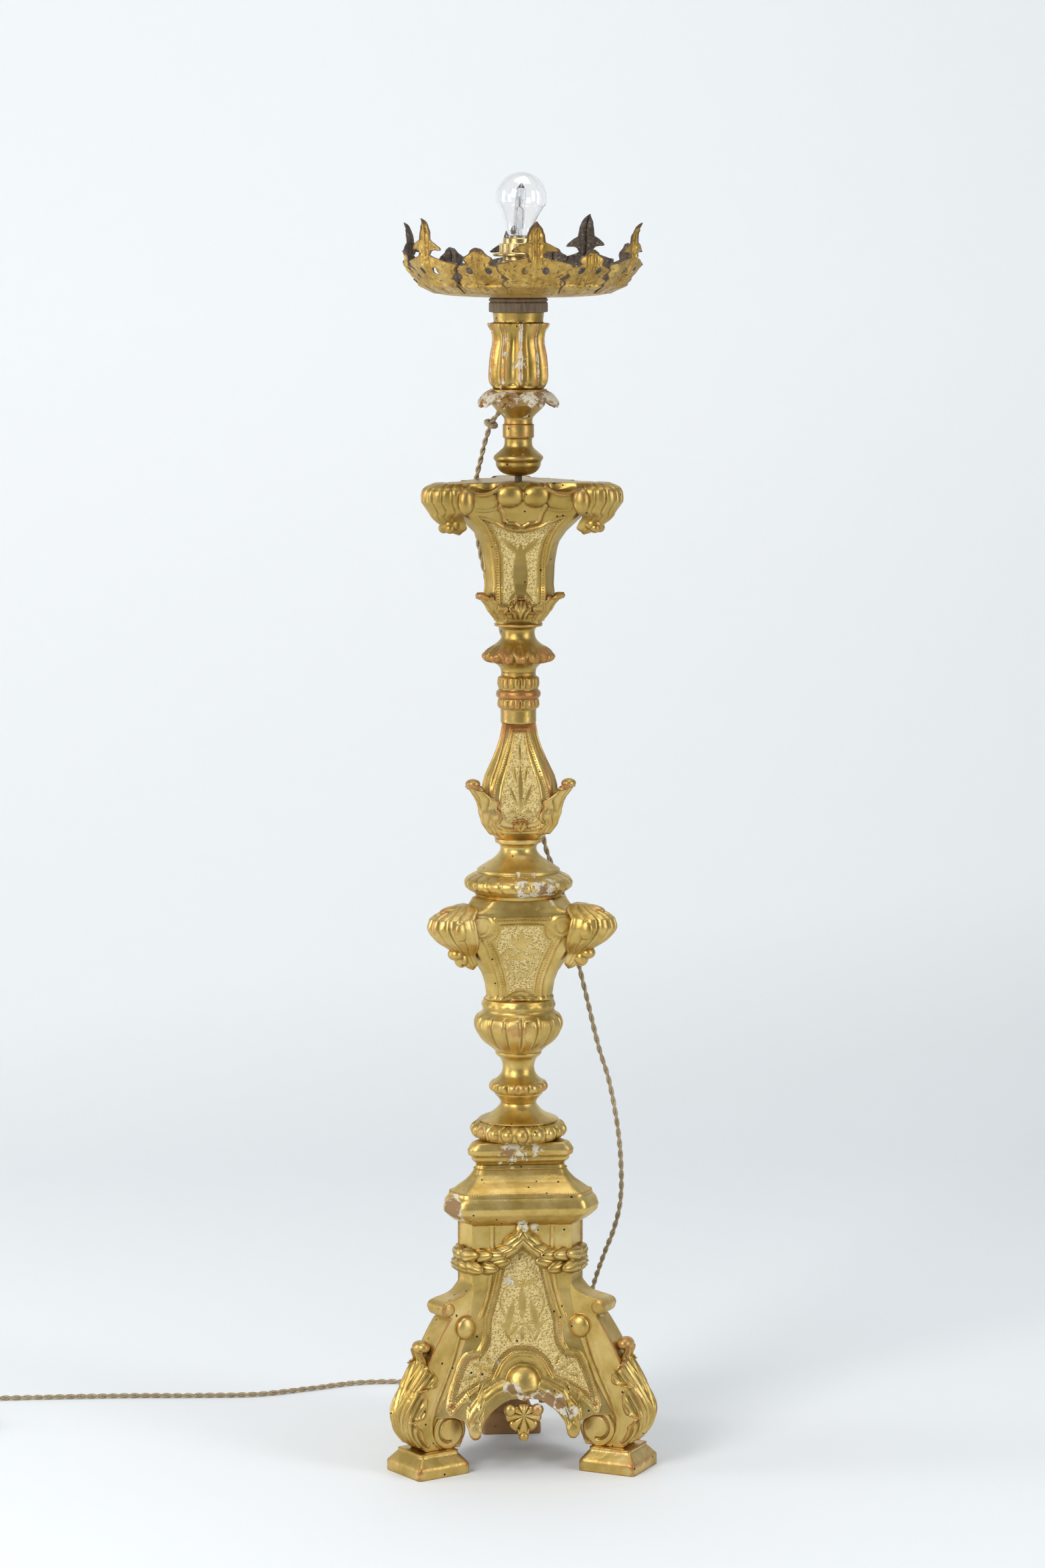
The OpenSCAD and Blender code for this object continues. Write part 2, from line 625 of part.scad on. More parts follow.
module petal_flange() {
  core = concat([[0, 0]], smooth([[15.5, 0], [15.5, 0.16], [19, 0.28], [24, 0.4], [27, 0.46]], 3),
    [[31, 0.86], [31, 1], [0, 1]]);
  color("antiquewhite") difference() {
    union() {
      turned(rise(z_flange, flange_h, core));
      lobed_loft([for (l = [[0.42, 0.62, 0], [0.44, 0.9, 0.16], [0.5, 0.99, 0.2], [0.6, 1, 0.2], [0.72,
        0.95, 0.17],
          [0.84, 0.82, 0.08], [0.9, 0.72, 0]]) [z_flange + flange_h * l[0], petal_r * l[1], l[2]]],
            petals, 4);
    }
    translate([0, 0, z_flange - 1]) cylinder(r = spigot_r + fit, h = spigot_h / 2 + 1 + fit);
    translate([0, 0, z_flange]) cylinder(r = tube_r + fit, h = flange_h + 1);
    cord_hole();
  }
}

module candle_cup() {
  levels = [[0, 30, 0.03], [0.06, 31.5, 0.08], [0.14, 32.3, 0.09], [0.28, 31.8, 0.09], [0.42, 30.8,
    0.08], [0.52, 29, 0.05],
    [0.56, 28.4, 0], [0.7, 27.6, 0.02], [0.8, 30, 0.06], [0.85, 31.5, 0.07], [0.9, 30, 0.03], [0.94,
      28, 0], [1, 28, 0]];
  color(GOLD) difference() {
    lobed_loft([for (l = levels) [z_cup + cup_h * l[0], l[1], l[2]]], reeds, 4);
    translate([0, 0, z_cup - 1]) cylinder(r = tube_r + fit, h = cup_h + 2);
  }
}

module top_disc() {
  color([0.2, 0.14, 0.1]) translate([0, 0, z_disc]) difference() {
    rotate_extrude($fn = 96) polygon([[tube_r + fit, 0], [disc_r - 1, 0], [disc_r, 1], [disc_r,
      disc_h * 0.62],
      [disc_r - 1.5, disc_h * 0.7], [disc_r, disc_h * 0.78], [disc_r, disc_h - 2], [disc_r - 2,
        disc_h], [tube_r + fit, disc_h]]);
  }
}

// ---- crown ----

// middle of the crown's sheet, as [radius, height over the pan's bottom]
rim_r = crown_r - 19;
crown_curve = smooth([[rim_r, pan_rise], [crown_r - 11, pan_rise + 10], [crown_r - 3, pan_rise + 20],
  [crown_r, pan_rise + 30], [crown_r + 1, pan_rise + 48], [crown_r + 5, pan_rise + 90]], 3);

// directions of the leaves, in degrees from the front towards the right, with their share of the height
tall_places = [[1, 1], [60, 0.98], [143, 1.12], [180, 0.95], [245, 0.98], [302, 1.05]];
low_places = [[333, 1], [30, 0.95], [113, 1.1], [160, 0.98], [213, 0.98], [275, 0.9]];
tall_half = [[31, 0], [34, 0.05], [37, 0.08], [35, 0.11], [39, 0.15], [42.5, 0.21], [43, 0.27], [37, 0.33],
  [29, 0.38], [19, 0.43], [11, 0.46], [9, 0.49], [10.5, 0.53], [17, 0.56], [25.5, 0.6], [25, 0.63],
    [19, 0.65],
  [13, 0.665], [9.5, 0.69], [9, 0.8], [7, 0.88], [1.2, 1]];
low_half = [[24, 0], [30, 0.08], [32, 0.18], [31, 0.26], [27, 0.33], [20, 0.38], [19.5, 0.42], [22, 0.5],
  [22.5, 0.58], [19, 0.66], [15, 0.72], [14, 0.8], [11, 0.9], [1.5, 1]];

// sheet between the crown's curve moved by a and by b across its thickness
module crown_sheet(curve, a, b) {
  translate([pan_shift, 0, z_pan]) rotate_extrude($fn = 120) polygon(concat(
    [for (q = curve) [q[0] + a, q[1] - 0.35 * a]], [for (i = [len(curve) - 1:-1:0]) [curve[i][0] + b,
      curve[i][1] - 0.35 * b]]));
}

module leaf_cutters(places, half, height, low) {
  for (p = places) translate([pan_shift, 0, z_rim]) rotate(p[0] - 90) rotate([90, 0, 90])
    linear_extrude(crown_r + 30) difference() {
      polygon(concat([for (q = half) [q[0], q[1] * height * p[1] + (q[1] == 0 ? low : 0)]],
        mirrored([for (q = half) [q[0], q[1] * height * p[1] + (q[1] == 0 ? low : 0)]])));
      for (s = [-1, 1]) translate([11 * s, 17]) circle(d = leaf_hole_d, $fn = 24);
    }
}

module drip_pan() {
  bottom = concat([[tube_r + pan_shift + 2, 0]], smooth([[40, 0], [62, 0.8], [82, 2.2], [96, 5]], 3),
    [[rim_r - 0.5, pan_rise]]);
  color([0.72, 0.55, 0.22]) difference() {
    translate([pan_shift, 0, z_pan]) rotate_extrude($fn = 120)
      polygon(concat([[0, 0]], bottom, [for (i = [len(bottom) - 1:-1:0]) [bottom[i][0] - 0.3 * sheet_t,
        bottom[i][1] + sheet_t]], [[0, sheet_t]]));
    translate([0, 0, z_pan - 1]) cylinder(r = tube_r + fit, h = 5);
  }
}

module tall_leaves() {
  color([0.76, 0.58, 0.22]) intersection() {
    crown_sheet(crown_curve, -0.3, sheet_t - 0.3);
    leaf_cutters(tall_places, tall_half, tall_h, -1);
  }
}

module low_leaves() {
  curve = [for (q = crown_curve) if (q[1] <= pan_rise + 60) q];
  color([0.66, 0.50, 0.22]) intersection() {
    crown_sheet(curve, -0.8 - sheet_t, -0.8);
    leaf_cutters(low_places, low_half, low_h, 1.4);
  }
}

// ---- lampholder ----

module threaded_tube() {
  color(BRASS) translate([0, 0, z_cup - 4]) difference() {
    cylinder(r = tube_r, h = z_holder + 6 - z_cup + 4);
    translate([0, 0, -1]) cylinder(r = tube_r - 1.2, h = z_holder + 8 - z_cup + 4);
  }
}

module lock_nut() {
  color(BRASS) translate([0, 0, z_nut]) difference() {
    union() {
      cylinder(r = tube_r + 6, h = 1.2);
      cylinder(r = tube_r + 4, h = nut_h, $fn = 6);
    }
    translate([0, 0, -1]) cylinder(r = tube_r + fit, h = nut_h + 2);
  }
}

module holder_cap() {
  h = holder_cap_h;
  outer = concat([[8, 0], [9, 1], [9, 6]], smooth([[11, 8], [16, 11], [19.5, 17], [20.2, h - 9]], 3),
    [[20.2, h - 5], [22.2, h - 4], [22.2, h - 0.5], [21.7, h]]);
  inner = [[shell_r - 1.5, h], [shell_r - 1.5, 13], [tube_r + fit, 9], [tube_r + fit, 0]];
  color(BRASS) translate([0, 0, z_holder]) rotate_extrude($fn = 96) polygon(concat(outer, inner));
}

module holder_shell() {
  color(BRASS) translate([0, 0, z_shell]) rotate_extrude($fn = 96) polygon([[screw_r + 1, 0], [shell_r, 0],
    [shell_r, shell_h - 1.2], [shell_r - 0.8, shell_h], [screw_r + 1, shell_h]]);
}

module holder_insert() {
  color("ivory") translate([0, 0, z_holder + 13.3]) difference() {
    cylinder(r = shell_r - 1.5 - fit, h = holder_cap_h - 15.6);
    for (s = [-1, 1]) translate([7 * s, 0, -1]) cylinder(r = 1.6, h = 5);
  }
}

module shade_ring() {
  knurls = 30;
  color(BRASS) translate([0, 0, z_shell + 4]) difference() {
    rotate_extrude($fn = 96) polygon([[shell_r + run, 0], [ring_r - 1.5, 0], [ring_r, 1.2], [ring_r,
      2.6], [ring_r - 2, 4],
      [20.6, 4.6], [20.6, 13.4], [20, 14], [shell_r + run, 14]]);
    for (k = [0:knurls - 1]) rotate(360 / knurls * k) translate([21.2, 0, 5]) cylinder(r = 1.1, h = 10,
      $fn = 16);
  }
}

// ---- bulb ----

module bulb_cap() {
  color("silver") translate([0, 0, z_bulb]) rotate_extrude($fn = 72) polygon([[0, -1.6], [4.8, -1.6],
    [5, 0], [9, 1.4],
    [screw_r - 0.8, 4], [screw_r, 6], [screw_r, 24], [screw_r + 0.6, 27], [screw_r - 1, 27],
      [screw_r - 1, 22], [0, 22]]);
}

glass_outer = concat([[screw_r - 1.7, 0], [screw_r - 1.7, 4.5]],
  smooth([[screw_r + 0.8, 8], [15.5, 16], [20, 26], [25.5, 36.5]], 3),
  [for (a = [-15:12:81]) [glass_r * cos(a), glass_h - glass_r * (1 - sin(a))]], [[0, glass_h]]);

module bulb_glass() {
  inner = [for (i = [len(glass_outer) - 1:-1:0]) let (q = glass_outer[i])
    [max(0, q[0] - glass_t), q[1] - (q[1] > glass_h - 5 ? glass_t : 0)]];
  color("lightcyan", 0.35) translate([0, 0, z_bulb + 23.2]) rotate([0, bulb_lean, 0])
    rotate_extrude($fn = 72) polygon(concat(glass_outer, inner));
}

module bulb_capsule() {
  color("gainsboro") translate([0, 0, z_bulb + 22]) {
    cylinder(r = 3, h = 12);
    translate([0, 0, 12]) rotate([0, bulb_lean, 0]) {
      translate([-5.5, -2.5, 0]) cube([11, 5, 20]);
      translate([0, 0, 20]) cylinder(r = 5.5, h = 22);
      translate([0, 0, 42]) cylinder(r1 = 5.5, r2 = 1, h = 7);
    }
  }
}

// ---- cord ----

// route of the free stretch, from the hole in the flange to the start of the coil
cord_route = [[-12.3, 14.6, 1166.4], [-15.5, 18.4, 1163], [-18.6, 22.2, 1159.6], [-22.7, 27.1, 1154],
  [-27.3, 32.5, 1146], [-32.8, 38, 1128], [-37.6, 40.4, 1108], [-42.3, 44.9, 1086], [-43.8, 50, 1060],
  [-40.4, 54.7, 1020], [-29.3, 55.8, 970], [-13.2, 55.4, 915], [2.7, 54, 860], [18.5, 50.6, 815],
  [29.1, 45.6, 775], [31.6, 39.4, 730], [30.1, 34.5, 695], [36.5, 39, 668], [47.2, 46.1, 646],
  [56.4, 48.3, 615], [64.5, 48.6, 580], [71.5, 49, 545], [80.7, 50.2, 507], [94.1, 54, 452],
  [106.4, 56.9, 412], [115.8, 61.1, 365], [121.3, 66.7, 318], [122.1, 75.6, 272], [116.1, 88.2, 236],
  [107.4, 103, 206], [99.2, 123.8, 172], [92.3, 148.5, 134], [85.6, 175.2, 92], [77.7, 200, 52],
  [65.9, 225.1, 22], [46.2, 252.9, 6], [14.8, 283.8, 3.1], [-32.9, 312.1, 3.1], [-91.9, 326.3, 3.1],
  [-156.9, 328.9, 3.1], [-219.2, 305.3, 3.1], [-281.4, 283.6, 3.1], [-356.6, 284.2, 3.1],
  [-431.4, 289.7, 3.1], [-506.5, 291.3, 3.1], [-576.8, 291.4, 3.1], [-625, 295.8, 3.1], [-650, 296, 3.1]];
coil_mid = [-656, 251];
coil_turns = 5.75;
turn_back = 2.75;
coil_z = 3.1;
layer_h = 6.6;

// sweep of a tube along points p
function unit(v) = v / norm(v);
function along(p, i) = unit(p[min(i + 1, len(p) - 1)] - p[max(i - 1, 0)]);
module tube(p, r, sides) {
  skin([for (i = [0:len(p) - 1]) let (t = along(p, i), u = unit(cross(abs(t[2]) > 0.8 ? [0, 1, 0] : [0,
    0, 1], t)), v = cross(t, u))
    [for (k = [0:sides - 1]) let (a = 360 * (k + 0.5) / sides) p[i] + r * (cos(a) * u + sin(a) * v)]]);
}

module cord_run() {
  color([0.62, 0.53, 0.38]) tube(smooth(cord_route, 2), cord_r, 8);
}

function coil_radius(t) = coil_r - coil_pitch * (turn_back - abs(t - turn_back));
function coil_height(t) = coil_z + layer_h * min(1, max(0, (t - turn_back + 0.25) * 2)) + over_tie(t);
// the tie passes under the turns, a half turn from their start
function over_tie(t) = 1.1 * max(0, 1 - pow(abs(t - floor(t) - 0.5) * 9, 2));
function coil_point(t) = let (a = 90 + 360 * t)
  [coil_mid[0] + coil_radius(t) * cos(a), coil_mid[1] + coil_radius(t) * sin(a), coil_height(t)];
coil_points = [for (k = [0:24 * coil_turns]) coil_point(k / 24)];
coil_end = coil_points[len(coil_points) - 1];
plug_end = [coil_end[0], coil_end[1] - 52, plug_t / 2 + 0.2];
lead_points = [for (s = [0.15, 0.35, 0.6, 0.85, 1]) [coil_end[0], coil_end[1] - 52 * s,
  coil_end[2] + (plug_end[2] - coil_end[2]) * (s == 1 ? 1 : s == 0.85 ? 1 : s * s * (3 - 2 * s) / 0.94)]];

module cord_coil() {
  color([0.62, 0.53, 0.38]) tube(concat([coil_points[0] + [cord_d, 0, 0]], coil_points, lead_points),
    cord_r, 6);
}
// least gap between the coil's turns, on points a quarter turn and more apart
echo(coil_gap = min([for (i = [0:len(coil_points) - 1], j = [i + 6:1:len(coil_points) - 1])
  norm(coil_points[i] - coil_points[j])]) - cord_d);
echo(cord_length = path_length(smooth(cord_route, 2)) + path_length(concat(coil_points, lead_points)));
function path_length(p, i = 0, s = 0) = i >= len(p) - 1 ? s : path_length(p, i + 1,
  s + norm(p[i + 1] - p[i]));

// band round the turns, at the coil's left side
module cord_tie() {
  wide = coil_radius(0) - coil_radius(turn_back) + cord_d + 3.5;
  high = coil_z + layer_h + cord_r + 1.7;
  mid_r = (coil_radius(0) + coil_radius(turn_back)) / 2;
  color([0.3, 0.26, 0.2]) translate([coil_mid[0], coil_mid[1] - mid_r, 0]) rotate([90, 0, 90])
    translate([0, 0.1, -4]) linear_extrude(8) difference() {
      translate([-wide / 2 - 1.1, 0]) square([wide + 2.2, high + 1.1]);
      translate([-wide / 2, 0.9]) square([wide, high - 0.9]);
    }
}

// knot in the cord just under its hole
knot_at = [-27.3, 32.5, 1146];
module cord_knot() {
  color([0.5, 0.42, 0.3]) translate(knot_at) rotate([0, 0, exit_turn]) rotate([0, 150, 0]) difference() {
    rotate_extrude($fn = 36) translate([cord_r + 2.6, 0]) circle(r = 2.6, $fn = 24);
    cylinder(r = cord_r + 0.5, h = 20, center = true);
  }
}

module plug_body() {
  half = concat([[5, 0], [8, -6], [13, -14], [13, -plug_l + 2], [11, -plug_l]]);
  color([0.32, 0.2, 0.12]) translate([plug_end[0], plug_end[1], 0.2]) linear_extrude(plug_t)
    polygon(concat(half, mirrored(half)));
}

module plug_prongs() {
  color("silver") for (s = [-1, 1]) translate([plug_end[0] + 9.3 * s, plug_end[1] - plug_l, plug_end[2]])
    rotate([90, 0, 0]) cylinder(r = prong_r, h = prong_l);
}

// ---- the stand ----

foot(RIGHT);  // foot_right
foot(BACK);  // foot_back
foot(LEFT);  // foot_left
leg(RIGHT);  // leg_right
leg(BACK);  // leg_back
leg(LEFT);  // leg_left
apron(FRONT_SIDE);  // apron_front
apron(RIGHT_SIDE);  // apron_right
apron(LEFT_SIDE);  // apron_left
pendant(FRONT_SIDE);  // pendant_front
pendant(RIGHT_SIDE);  // pendant_right
pendant(LEFT_SIDE);  // pendant_left
leg_leaf(RIGHT);  // leg_leaf_right
leg_leaf(BACK);  // leg_leaf_back
leg_leaf(LEFT);  // leg_leaf_left
base_core();
garland();
ovolo_cap();
plinth();
egg_torus();
spool();
gadrooned_cup();
mid_vase();
mid_ear(RIGHT);  // mid_ear_right
mid_ear(BACK);  // mid_ear_back
mid_ear(LEFT);  // mid_ear_left
gadroon_ring();
pear();
pear_leaf(RIGHT);  // pear_leaf_right
pear_leaf(BACK);  // pear_leaf_back
pear_leaf(LEFT);  // pear_leaf_left
reeded_collars();
leaf_ring();
upper_vase();
upper_ear(RIGHT);  // upper_ear_right
upper_ear(BACK);  // upper_ear_back
upper_ear(LEFT);  // upper_ear_left
iron_pin();
knop();
petal_flange();
candle_cup();
top_disc();
drip_pan();
tall_leaves();
low_leaves();
threaded_tube();
lock_nut();
holder_cap();
holder_shell();
holder_insert();
shade_ring();
bulb_cap();
bulb_glass();
bulb_capsule();
cord_run();
cord_coil();
cord_tie();
cord_knot();
plug_body();
plug_prongs();
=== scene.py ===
# Looks of the carved and gilt candle stand: every piece is carved in the CAD's own frame.
import math
import random

import bmesh
import bpy
from mathutils import Matrix, Vector, noise


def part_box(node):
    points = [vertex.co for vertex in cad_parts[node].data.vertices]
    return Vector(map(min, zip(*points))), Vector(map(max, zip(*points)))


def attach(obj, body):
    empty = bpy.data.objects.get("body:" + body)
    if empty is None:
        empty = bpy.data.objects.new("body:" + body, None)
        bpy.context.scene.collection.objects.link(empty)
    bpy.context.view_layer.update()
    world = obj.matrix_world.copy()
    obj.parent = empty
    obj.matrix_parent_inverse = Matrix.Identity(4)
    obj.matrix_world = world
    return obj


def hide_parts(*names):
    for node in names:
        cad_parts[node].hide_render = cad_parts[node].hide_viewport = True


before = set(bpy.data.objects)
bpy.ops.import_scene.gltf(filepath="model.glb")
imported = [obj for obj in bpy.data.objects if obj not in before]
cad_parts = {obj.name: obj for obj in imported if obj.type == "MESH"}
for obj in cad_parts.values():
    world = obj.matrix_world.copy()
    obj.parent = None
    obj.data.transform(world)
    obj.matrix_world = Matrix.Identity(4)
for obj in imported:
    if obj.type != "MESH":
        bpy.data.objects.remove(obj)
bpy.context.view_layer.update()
scene = bpy.context.scene
MM = 0.001
CORNERS = {"right": 330, "back": 90, "left": 210}
SIDES = {"front": 270, "right": 30, "left": 150}


# ---- measuring ----

def between(table, x):
    """Row of the table at x, straight between its entries."""
    if x <= table[0][0]:
        return table[0][1:]
    for low, high in zip(table, table[1:]):
        if x <= high[0]:
            k = (x - low[0]) / (high[0] - low[0])
            return tuple(a + (b - a) * k for a, b in zip(low[1:], high[1:]))
    return table[-1][1:]


def smooth(points, steps):
    """Smooth curve through points."""
    out = []
    for i in range(len(points) - 1):
        a, b, c, d = (points[max(i - 1, 0)], points[i], points[i + 1], points[min(i + 2, len(points) - 1)])
        for k in range(steps):
            t = k / steps
            out.append(tuple(0.5 * (2 * q + (r - p) * t + (2 * p - 5 * q + 4 * r - s) * t * t
                                    + (3 * q - p - 3 * r + s) * t ** 3) for p, q, r, s in zip(a, b, c, d)))
    return out + [tuple(points[-1])]


def fine(points, gap):
    """The same line with no two points further apart than the gap."""
    out = [tuple(points[0])]
    for a, b in zip(points, points[1:]):
        count = max(1, math.ceil(math.dist(a, b) / gap))
        out += [tuple(p + (q - p) * k / count for p, q in zip(a, b)) for k in range(1, count + 1)]
    return out


def hill(x, half):
    """Rounded hill, 1 at 0 and 0 from half outwards."""
    return max(0.0, 1 - (x / half) ** 2)


def step(x, low, high):
    t = min(1.0, max(0.0, (x - low) / (high - low)))
    return t * t * (3 - 2 * t)


def from_corner(a):
    return (a + 90) % 120 - 60


def from_side(a):
    return (a + 30) % 120 - 60


def canted(c, e, a, sharp=26):
    """Radius at angle a of the hexagon with canted corners c away and e half wide."""
    near = c / math.cos(math.radians(from_corner(a)))
    far = (c / 2 + e * 0.866) / math.cos(math.radians(from_side(a)))
    return (near ** -sharp + far ** -sharp) ** (-1 / sharp)


def turned(point, a):
    """A point given as outward, sideways, up, turned to direction a."""
    c, s = math.cos(math.radians(a)), math.sin(math.radians(a))
    return (point[0] * c - point[1] * s, point[0] * s + point[1] * c, point[2])


def from_border(border, s, z):
    """How far inside a half border the point lies, and the way along it."""
    s, best, along, run, inside = abs(s), 1e9, 0.0, 0.0, False
    for (s0, z0), (s1, z1) in zip(border, border[1:]):
        ds, dz = s1 - s0, z1 - z0
        length = math.hypot(ds, dz) or 1e-9
        k = min(1.0, max(0.0, ((s - s0) * ds + (z - z0) * dz) / length ** 2))
        far = math.hypot(s - s0 - k * ds, z - z0 - k * dz)
        if far < best:
            best, along = far, run + k * length
        if (z0 > z) != (z1 > z) and s < s0 + (z - z0) * ds / dz:
            inside = not inside
        run += length
    return (best if inside else -best), along


def inset(border, gap):
    """Half border moved inwards by the gap."""
    out = []
    for i, (s, z) in enumerate(border):
        a, b = border[max(i - 1, 0)], border[min(i + 1, len(border) - 1)]
        ds, dz = b[0] - a[0], b[1] - a[1]
        length = math.hypot(ds, dz) or 1
        out.append((max(0.0, s - dz / length * gap), z + ds / length * gap))
    return out


# ---- finishes ----

class Finish:
    """A material made node by node."""

    def __init__(self, name):
        self.material = bpy.data.materials.new(name)
        self.material.use_nodes = True
        self.tree = self.material.node_tree
        self.shader = self.tree.nodes["Principled BSDF"]
        self.place = self.tree.nodes.new("ShaderNodeTexCoord").outputs["Object"]

    def set(self, **values):
        for name, value in values.items():
            self.shader.inputs[name.replace("_", " ")].default_value = value
        return self

    def link(self, source, target):
        if isinstance(target, str):
            target = self.shader.inputs[target]
        if hasattr(source, "bl_idname") or hasattr(source, "is_output"):
            self.tree.links.new(source, target)
        else:
            target.default_value = source

    def noise(self, scale, detail=6, rough=0.6, place=None):
        n = self.tree.nodes.new("ShaderNodeTexNoise")
        n.inputs["Scale"].default_value = scale
        n.inputs["Detail"].default_value = detail
        n.inputs["Roughness"].default_value = rough
        self.tree.links.new(place or self.place, n.inputs["Vector"])
        return n.outputs["Fac"]

    def cells(self, scale, feature="F1", place=None):
        n = self.tree.nodes.new("ShaderNodeTexVoronoi")
        n.feature = feature
        n.inputs["Scale"].default_value = scale
        self.tree.links.new(place or self.place, n.inputs["Vector"])
        return n.outputs["Distance"]

    def ramp(self, source, *stops):
        n = self.tree.nodes.new("ShaderNodeValToRGB")
        while len(n.color_ramp.elements) < len(stops):
            n.color_ramp.elements.new(0.5)
        for element, (position, colour) in zip(n.color_ramp.elements, stops):
            element.position = position
            element.color = (*colour, 1) if isinstance(colour, tuple) else (colour, colour, colour, 1)
        self.tree.links.new(source, n.inputs["Fac"])
        return n.outputs["Color"]

    def math(self, kind, a, b=0.0, c=0.0):
        n = self.tree.nodes.new("ShaderNodeMath")
        n.operation = kind
        for source, target in zip((a, b, c), n.inputs):
            self.link(source, target)
        return n.outputs[0]

    def mix(self, factor, a, b):
        n = self.tree.nodes.new("ShaderNodeMix")
        n.data_type = "RGBA"
        self.link(factor, n.inputs["Factor"])
        for value, target in ((a, n.inputs[6]), (b, n.inputs[7])):
            self.link((*value, 1) if isinstance(value, tuple) else value, target)
        return n.outputs[2]

    def bump(self, height, distance, strength=1.0, under=None):
        n = self.tree.nodes.new("ShaderNodeBump")
        n.inputs["Distance"].default_value = distance
        n.inputs["Strength"].default_value = strength
        self.link(height, n.inputs["Height"])
        if under is not None:
            self.tree.links.new(under, n.inputs["Normal"])
        return n.outputs["Normal"]


def gilding():
    """Burnished leaf over red bole and gesso, worn on its edges, with worm holes, a punched ground, painted
    shade in its hollows and a painted darker reflection on its upper parts.
    """
    f = Finish("gilding")
    wear = f.tree.nodes.new("ShaderNodeAttribute")
    wear.attribute_name = "wear"
    split = f.tree.nodes.new("ShaderNodeSeparateXYZ")
    f.tree.links.new(wear.outputs["Vector"], split.inputs[0])
    ground, bole_here, chip_here = split.outputs
    turn = f.tree.nodes.new("ShaderNodeNewGeometry").outputs["Pointiness"]
    edges = f.ramp(turn, (0.505, 0.0), (0.56, 1.0))
    # painted shade: concave places of the carving, darkened further down
    hollow_shade = f.ramp(turn, (0.43, 1.0), (0.495, 0.0))
    broad = f.noise(22, 4, 0.6)
    patch = f.noise(75, 8, 0.72)
    grain = f.noise(420, 5, 0.65)
    # worn to the bole
    bole = f.math("ADD", f.math("MULTIPLY", broad, 0.45), f.math("MULTIPLY", patch, 0.55))
    bole = f.math("MULTIPLY_ADD", edges, 0.15, bole)
    bole = f.math("MULTIPLY_ADD", bole_here, 0.22, bole)
    bole = f.ramp(bole, (0.60, 0.0), (0.74, 1.0))
    # chipped to the gesso, and deeper to the wood
    ragged = f.math("MULTIPLY_ADD", f.noise(85, 7, 0.62), 1.5, -0.25)
    chip = f.ramp(f.math("MULTIPLY_ADD", chip_here, 0.6, ragged), (0.88, 0.0), (0.92, 1.0))
    wood = f.ramp(f.math("MULTIPLY_ADD", chip_here, 0.5, f.math("MULTIPLY", f.noise(60, 8, 0.8), 0.83)),
                  (0.83, 0.0), (0.85, 1.0))
    specks = f.math("GREATER_THAN", f.math("MULTIPLY_ADD", edges, 0.05, grain), 0.69)
    # worm holes
    holes = f.math("LESS_THAN", f.cells(70), 0.09)
    holes = f.math("MULTIPLY", holes, f.math("GREATER_THAN", f.noise(14, 2), 0.46))
    leaf = f.ramp(broad, (0.34, (0.45, 0.30, 0.075)), (0.5, (0.61, 0.43, 0.135)),
                  (0.66, (0.73, 0.55, 0.215)))
    # the upper parts are painted darker: a painted reflection of the dark room in their burnished leaf
    up = f.tree.nodes.new("ShaderNodeSeparateXYZ")
    f.tree.links.new(f.place, up.inputs[0])
    upper_painted_reflection = f.ramp(f.math("MULTIPLY_ADD", broad, 0.25, up.outputs[2]), (0.86, 0.0), (0.99, 1.0))
    leaf = f.mix(f.math("MULTIPLY", upper_painted_reflection, 0.45), leaf, (0.30, 0.185, 0.035))
    # painted shade in the hollows
    leaf = f.mix(f.math("MULTIPLY", hollow_shade, 0.8), leaf, (0.10, 0.055, 0.014))
    dots = f.cells(480)
    punched = f.ramp(dots, (0.14, (0.23, 0.145, 0.034)), (0.32, (0.56, 0.405, 0.13)),
                     (0.65, (0.77, 0.62, 0.29)))
    leaf = f.mix(f.math("MULTIPLY", ground, 0.9), leaf, punched)
    colour = f.mix(bole, leaf, f.ramp(patch, (0.35, (0.28, 0.105, 0.024)), (0.65, (0.52, 0.255, 0.075))))
    gesso = f.ramp(grain, (0.3, (0.52, 0.46, 0.33)), (0.7, (0.76, 0.71, 0.57)))
    colour = f.mix(f.math("MULTIPLY", specks, 0.7), colour, gesso)
    colour = f.mix(chip, colour, f.mix(wood, gesso, (0.29, 0.165, 0.065)))
    colour = f.mix(holes, colour, (0.012, 0.007, 0.004))
    f.link(colour, "Base Color")
    bare = f.math("MAXIMUM", chip, holes)
    dull = f.math("MAXIMUM", f.math("MULTIPLY", bole, 0.4), f.math("MULTIPLY", ground, 0.45))
    f.link(f.math("SUBTRACT", 1.0, f.math("MAXIMUM", dull, bare)), "Metallic")
    rough = f.math("MULTIPLY_ADD", patch, 0.3, 0.22)
    rough = f.math("MULTIPLY_ADD", ground, 0.14, rough)
    f.link(f.math("MAXIMUM", rough, f.math("MULTIPLY", bare, 0.8)), "Roughness")
    relief = f.math("MULTIPLY_ADD", broad, 2.2, f.math("MULTIPLY", patch, 0.5))
    relief = f.math("MULTIPLY_ADD", grain, 0.06, relief)
    relief = f.math("SUBTRACT", relief, f.math("MULTIPLY", bare, 0.5))
    f.link(f.bump(f.math("MULTIPLY", dots, ground), 0.0014, 1.0, f.bump(relief, 0.0011, 0.6)), "Normal")
    return f.material


def old_wood(name, dark, light, scale=90):
    f = Finish(name)
    stretch = f.tree.nodes.new("ShaderNodeMapping")
    stretch.inputs["Scale"].default_value = (1, 1, 0.12)
    f.tree.links.new(f.place, stretch.inputs["Vector"])
    fibre = f.noise(scale * 3, 8, 0.7, stretch.outputs[0])
    f.link(f.ramp(fibre, (0.3, dark), (0.7, light)), "Base Color")
    f.link(f.math("MULTIPLY_ADD", fibre, 0.3, 0.5), "Roughness")
    f.link(f.bump(fibre, 0.0008, 0.6), "Normal")
    return f.material


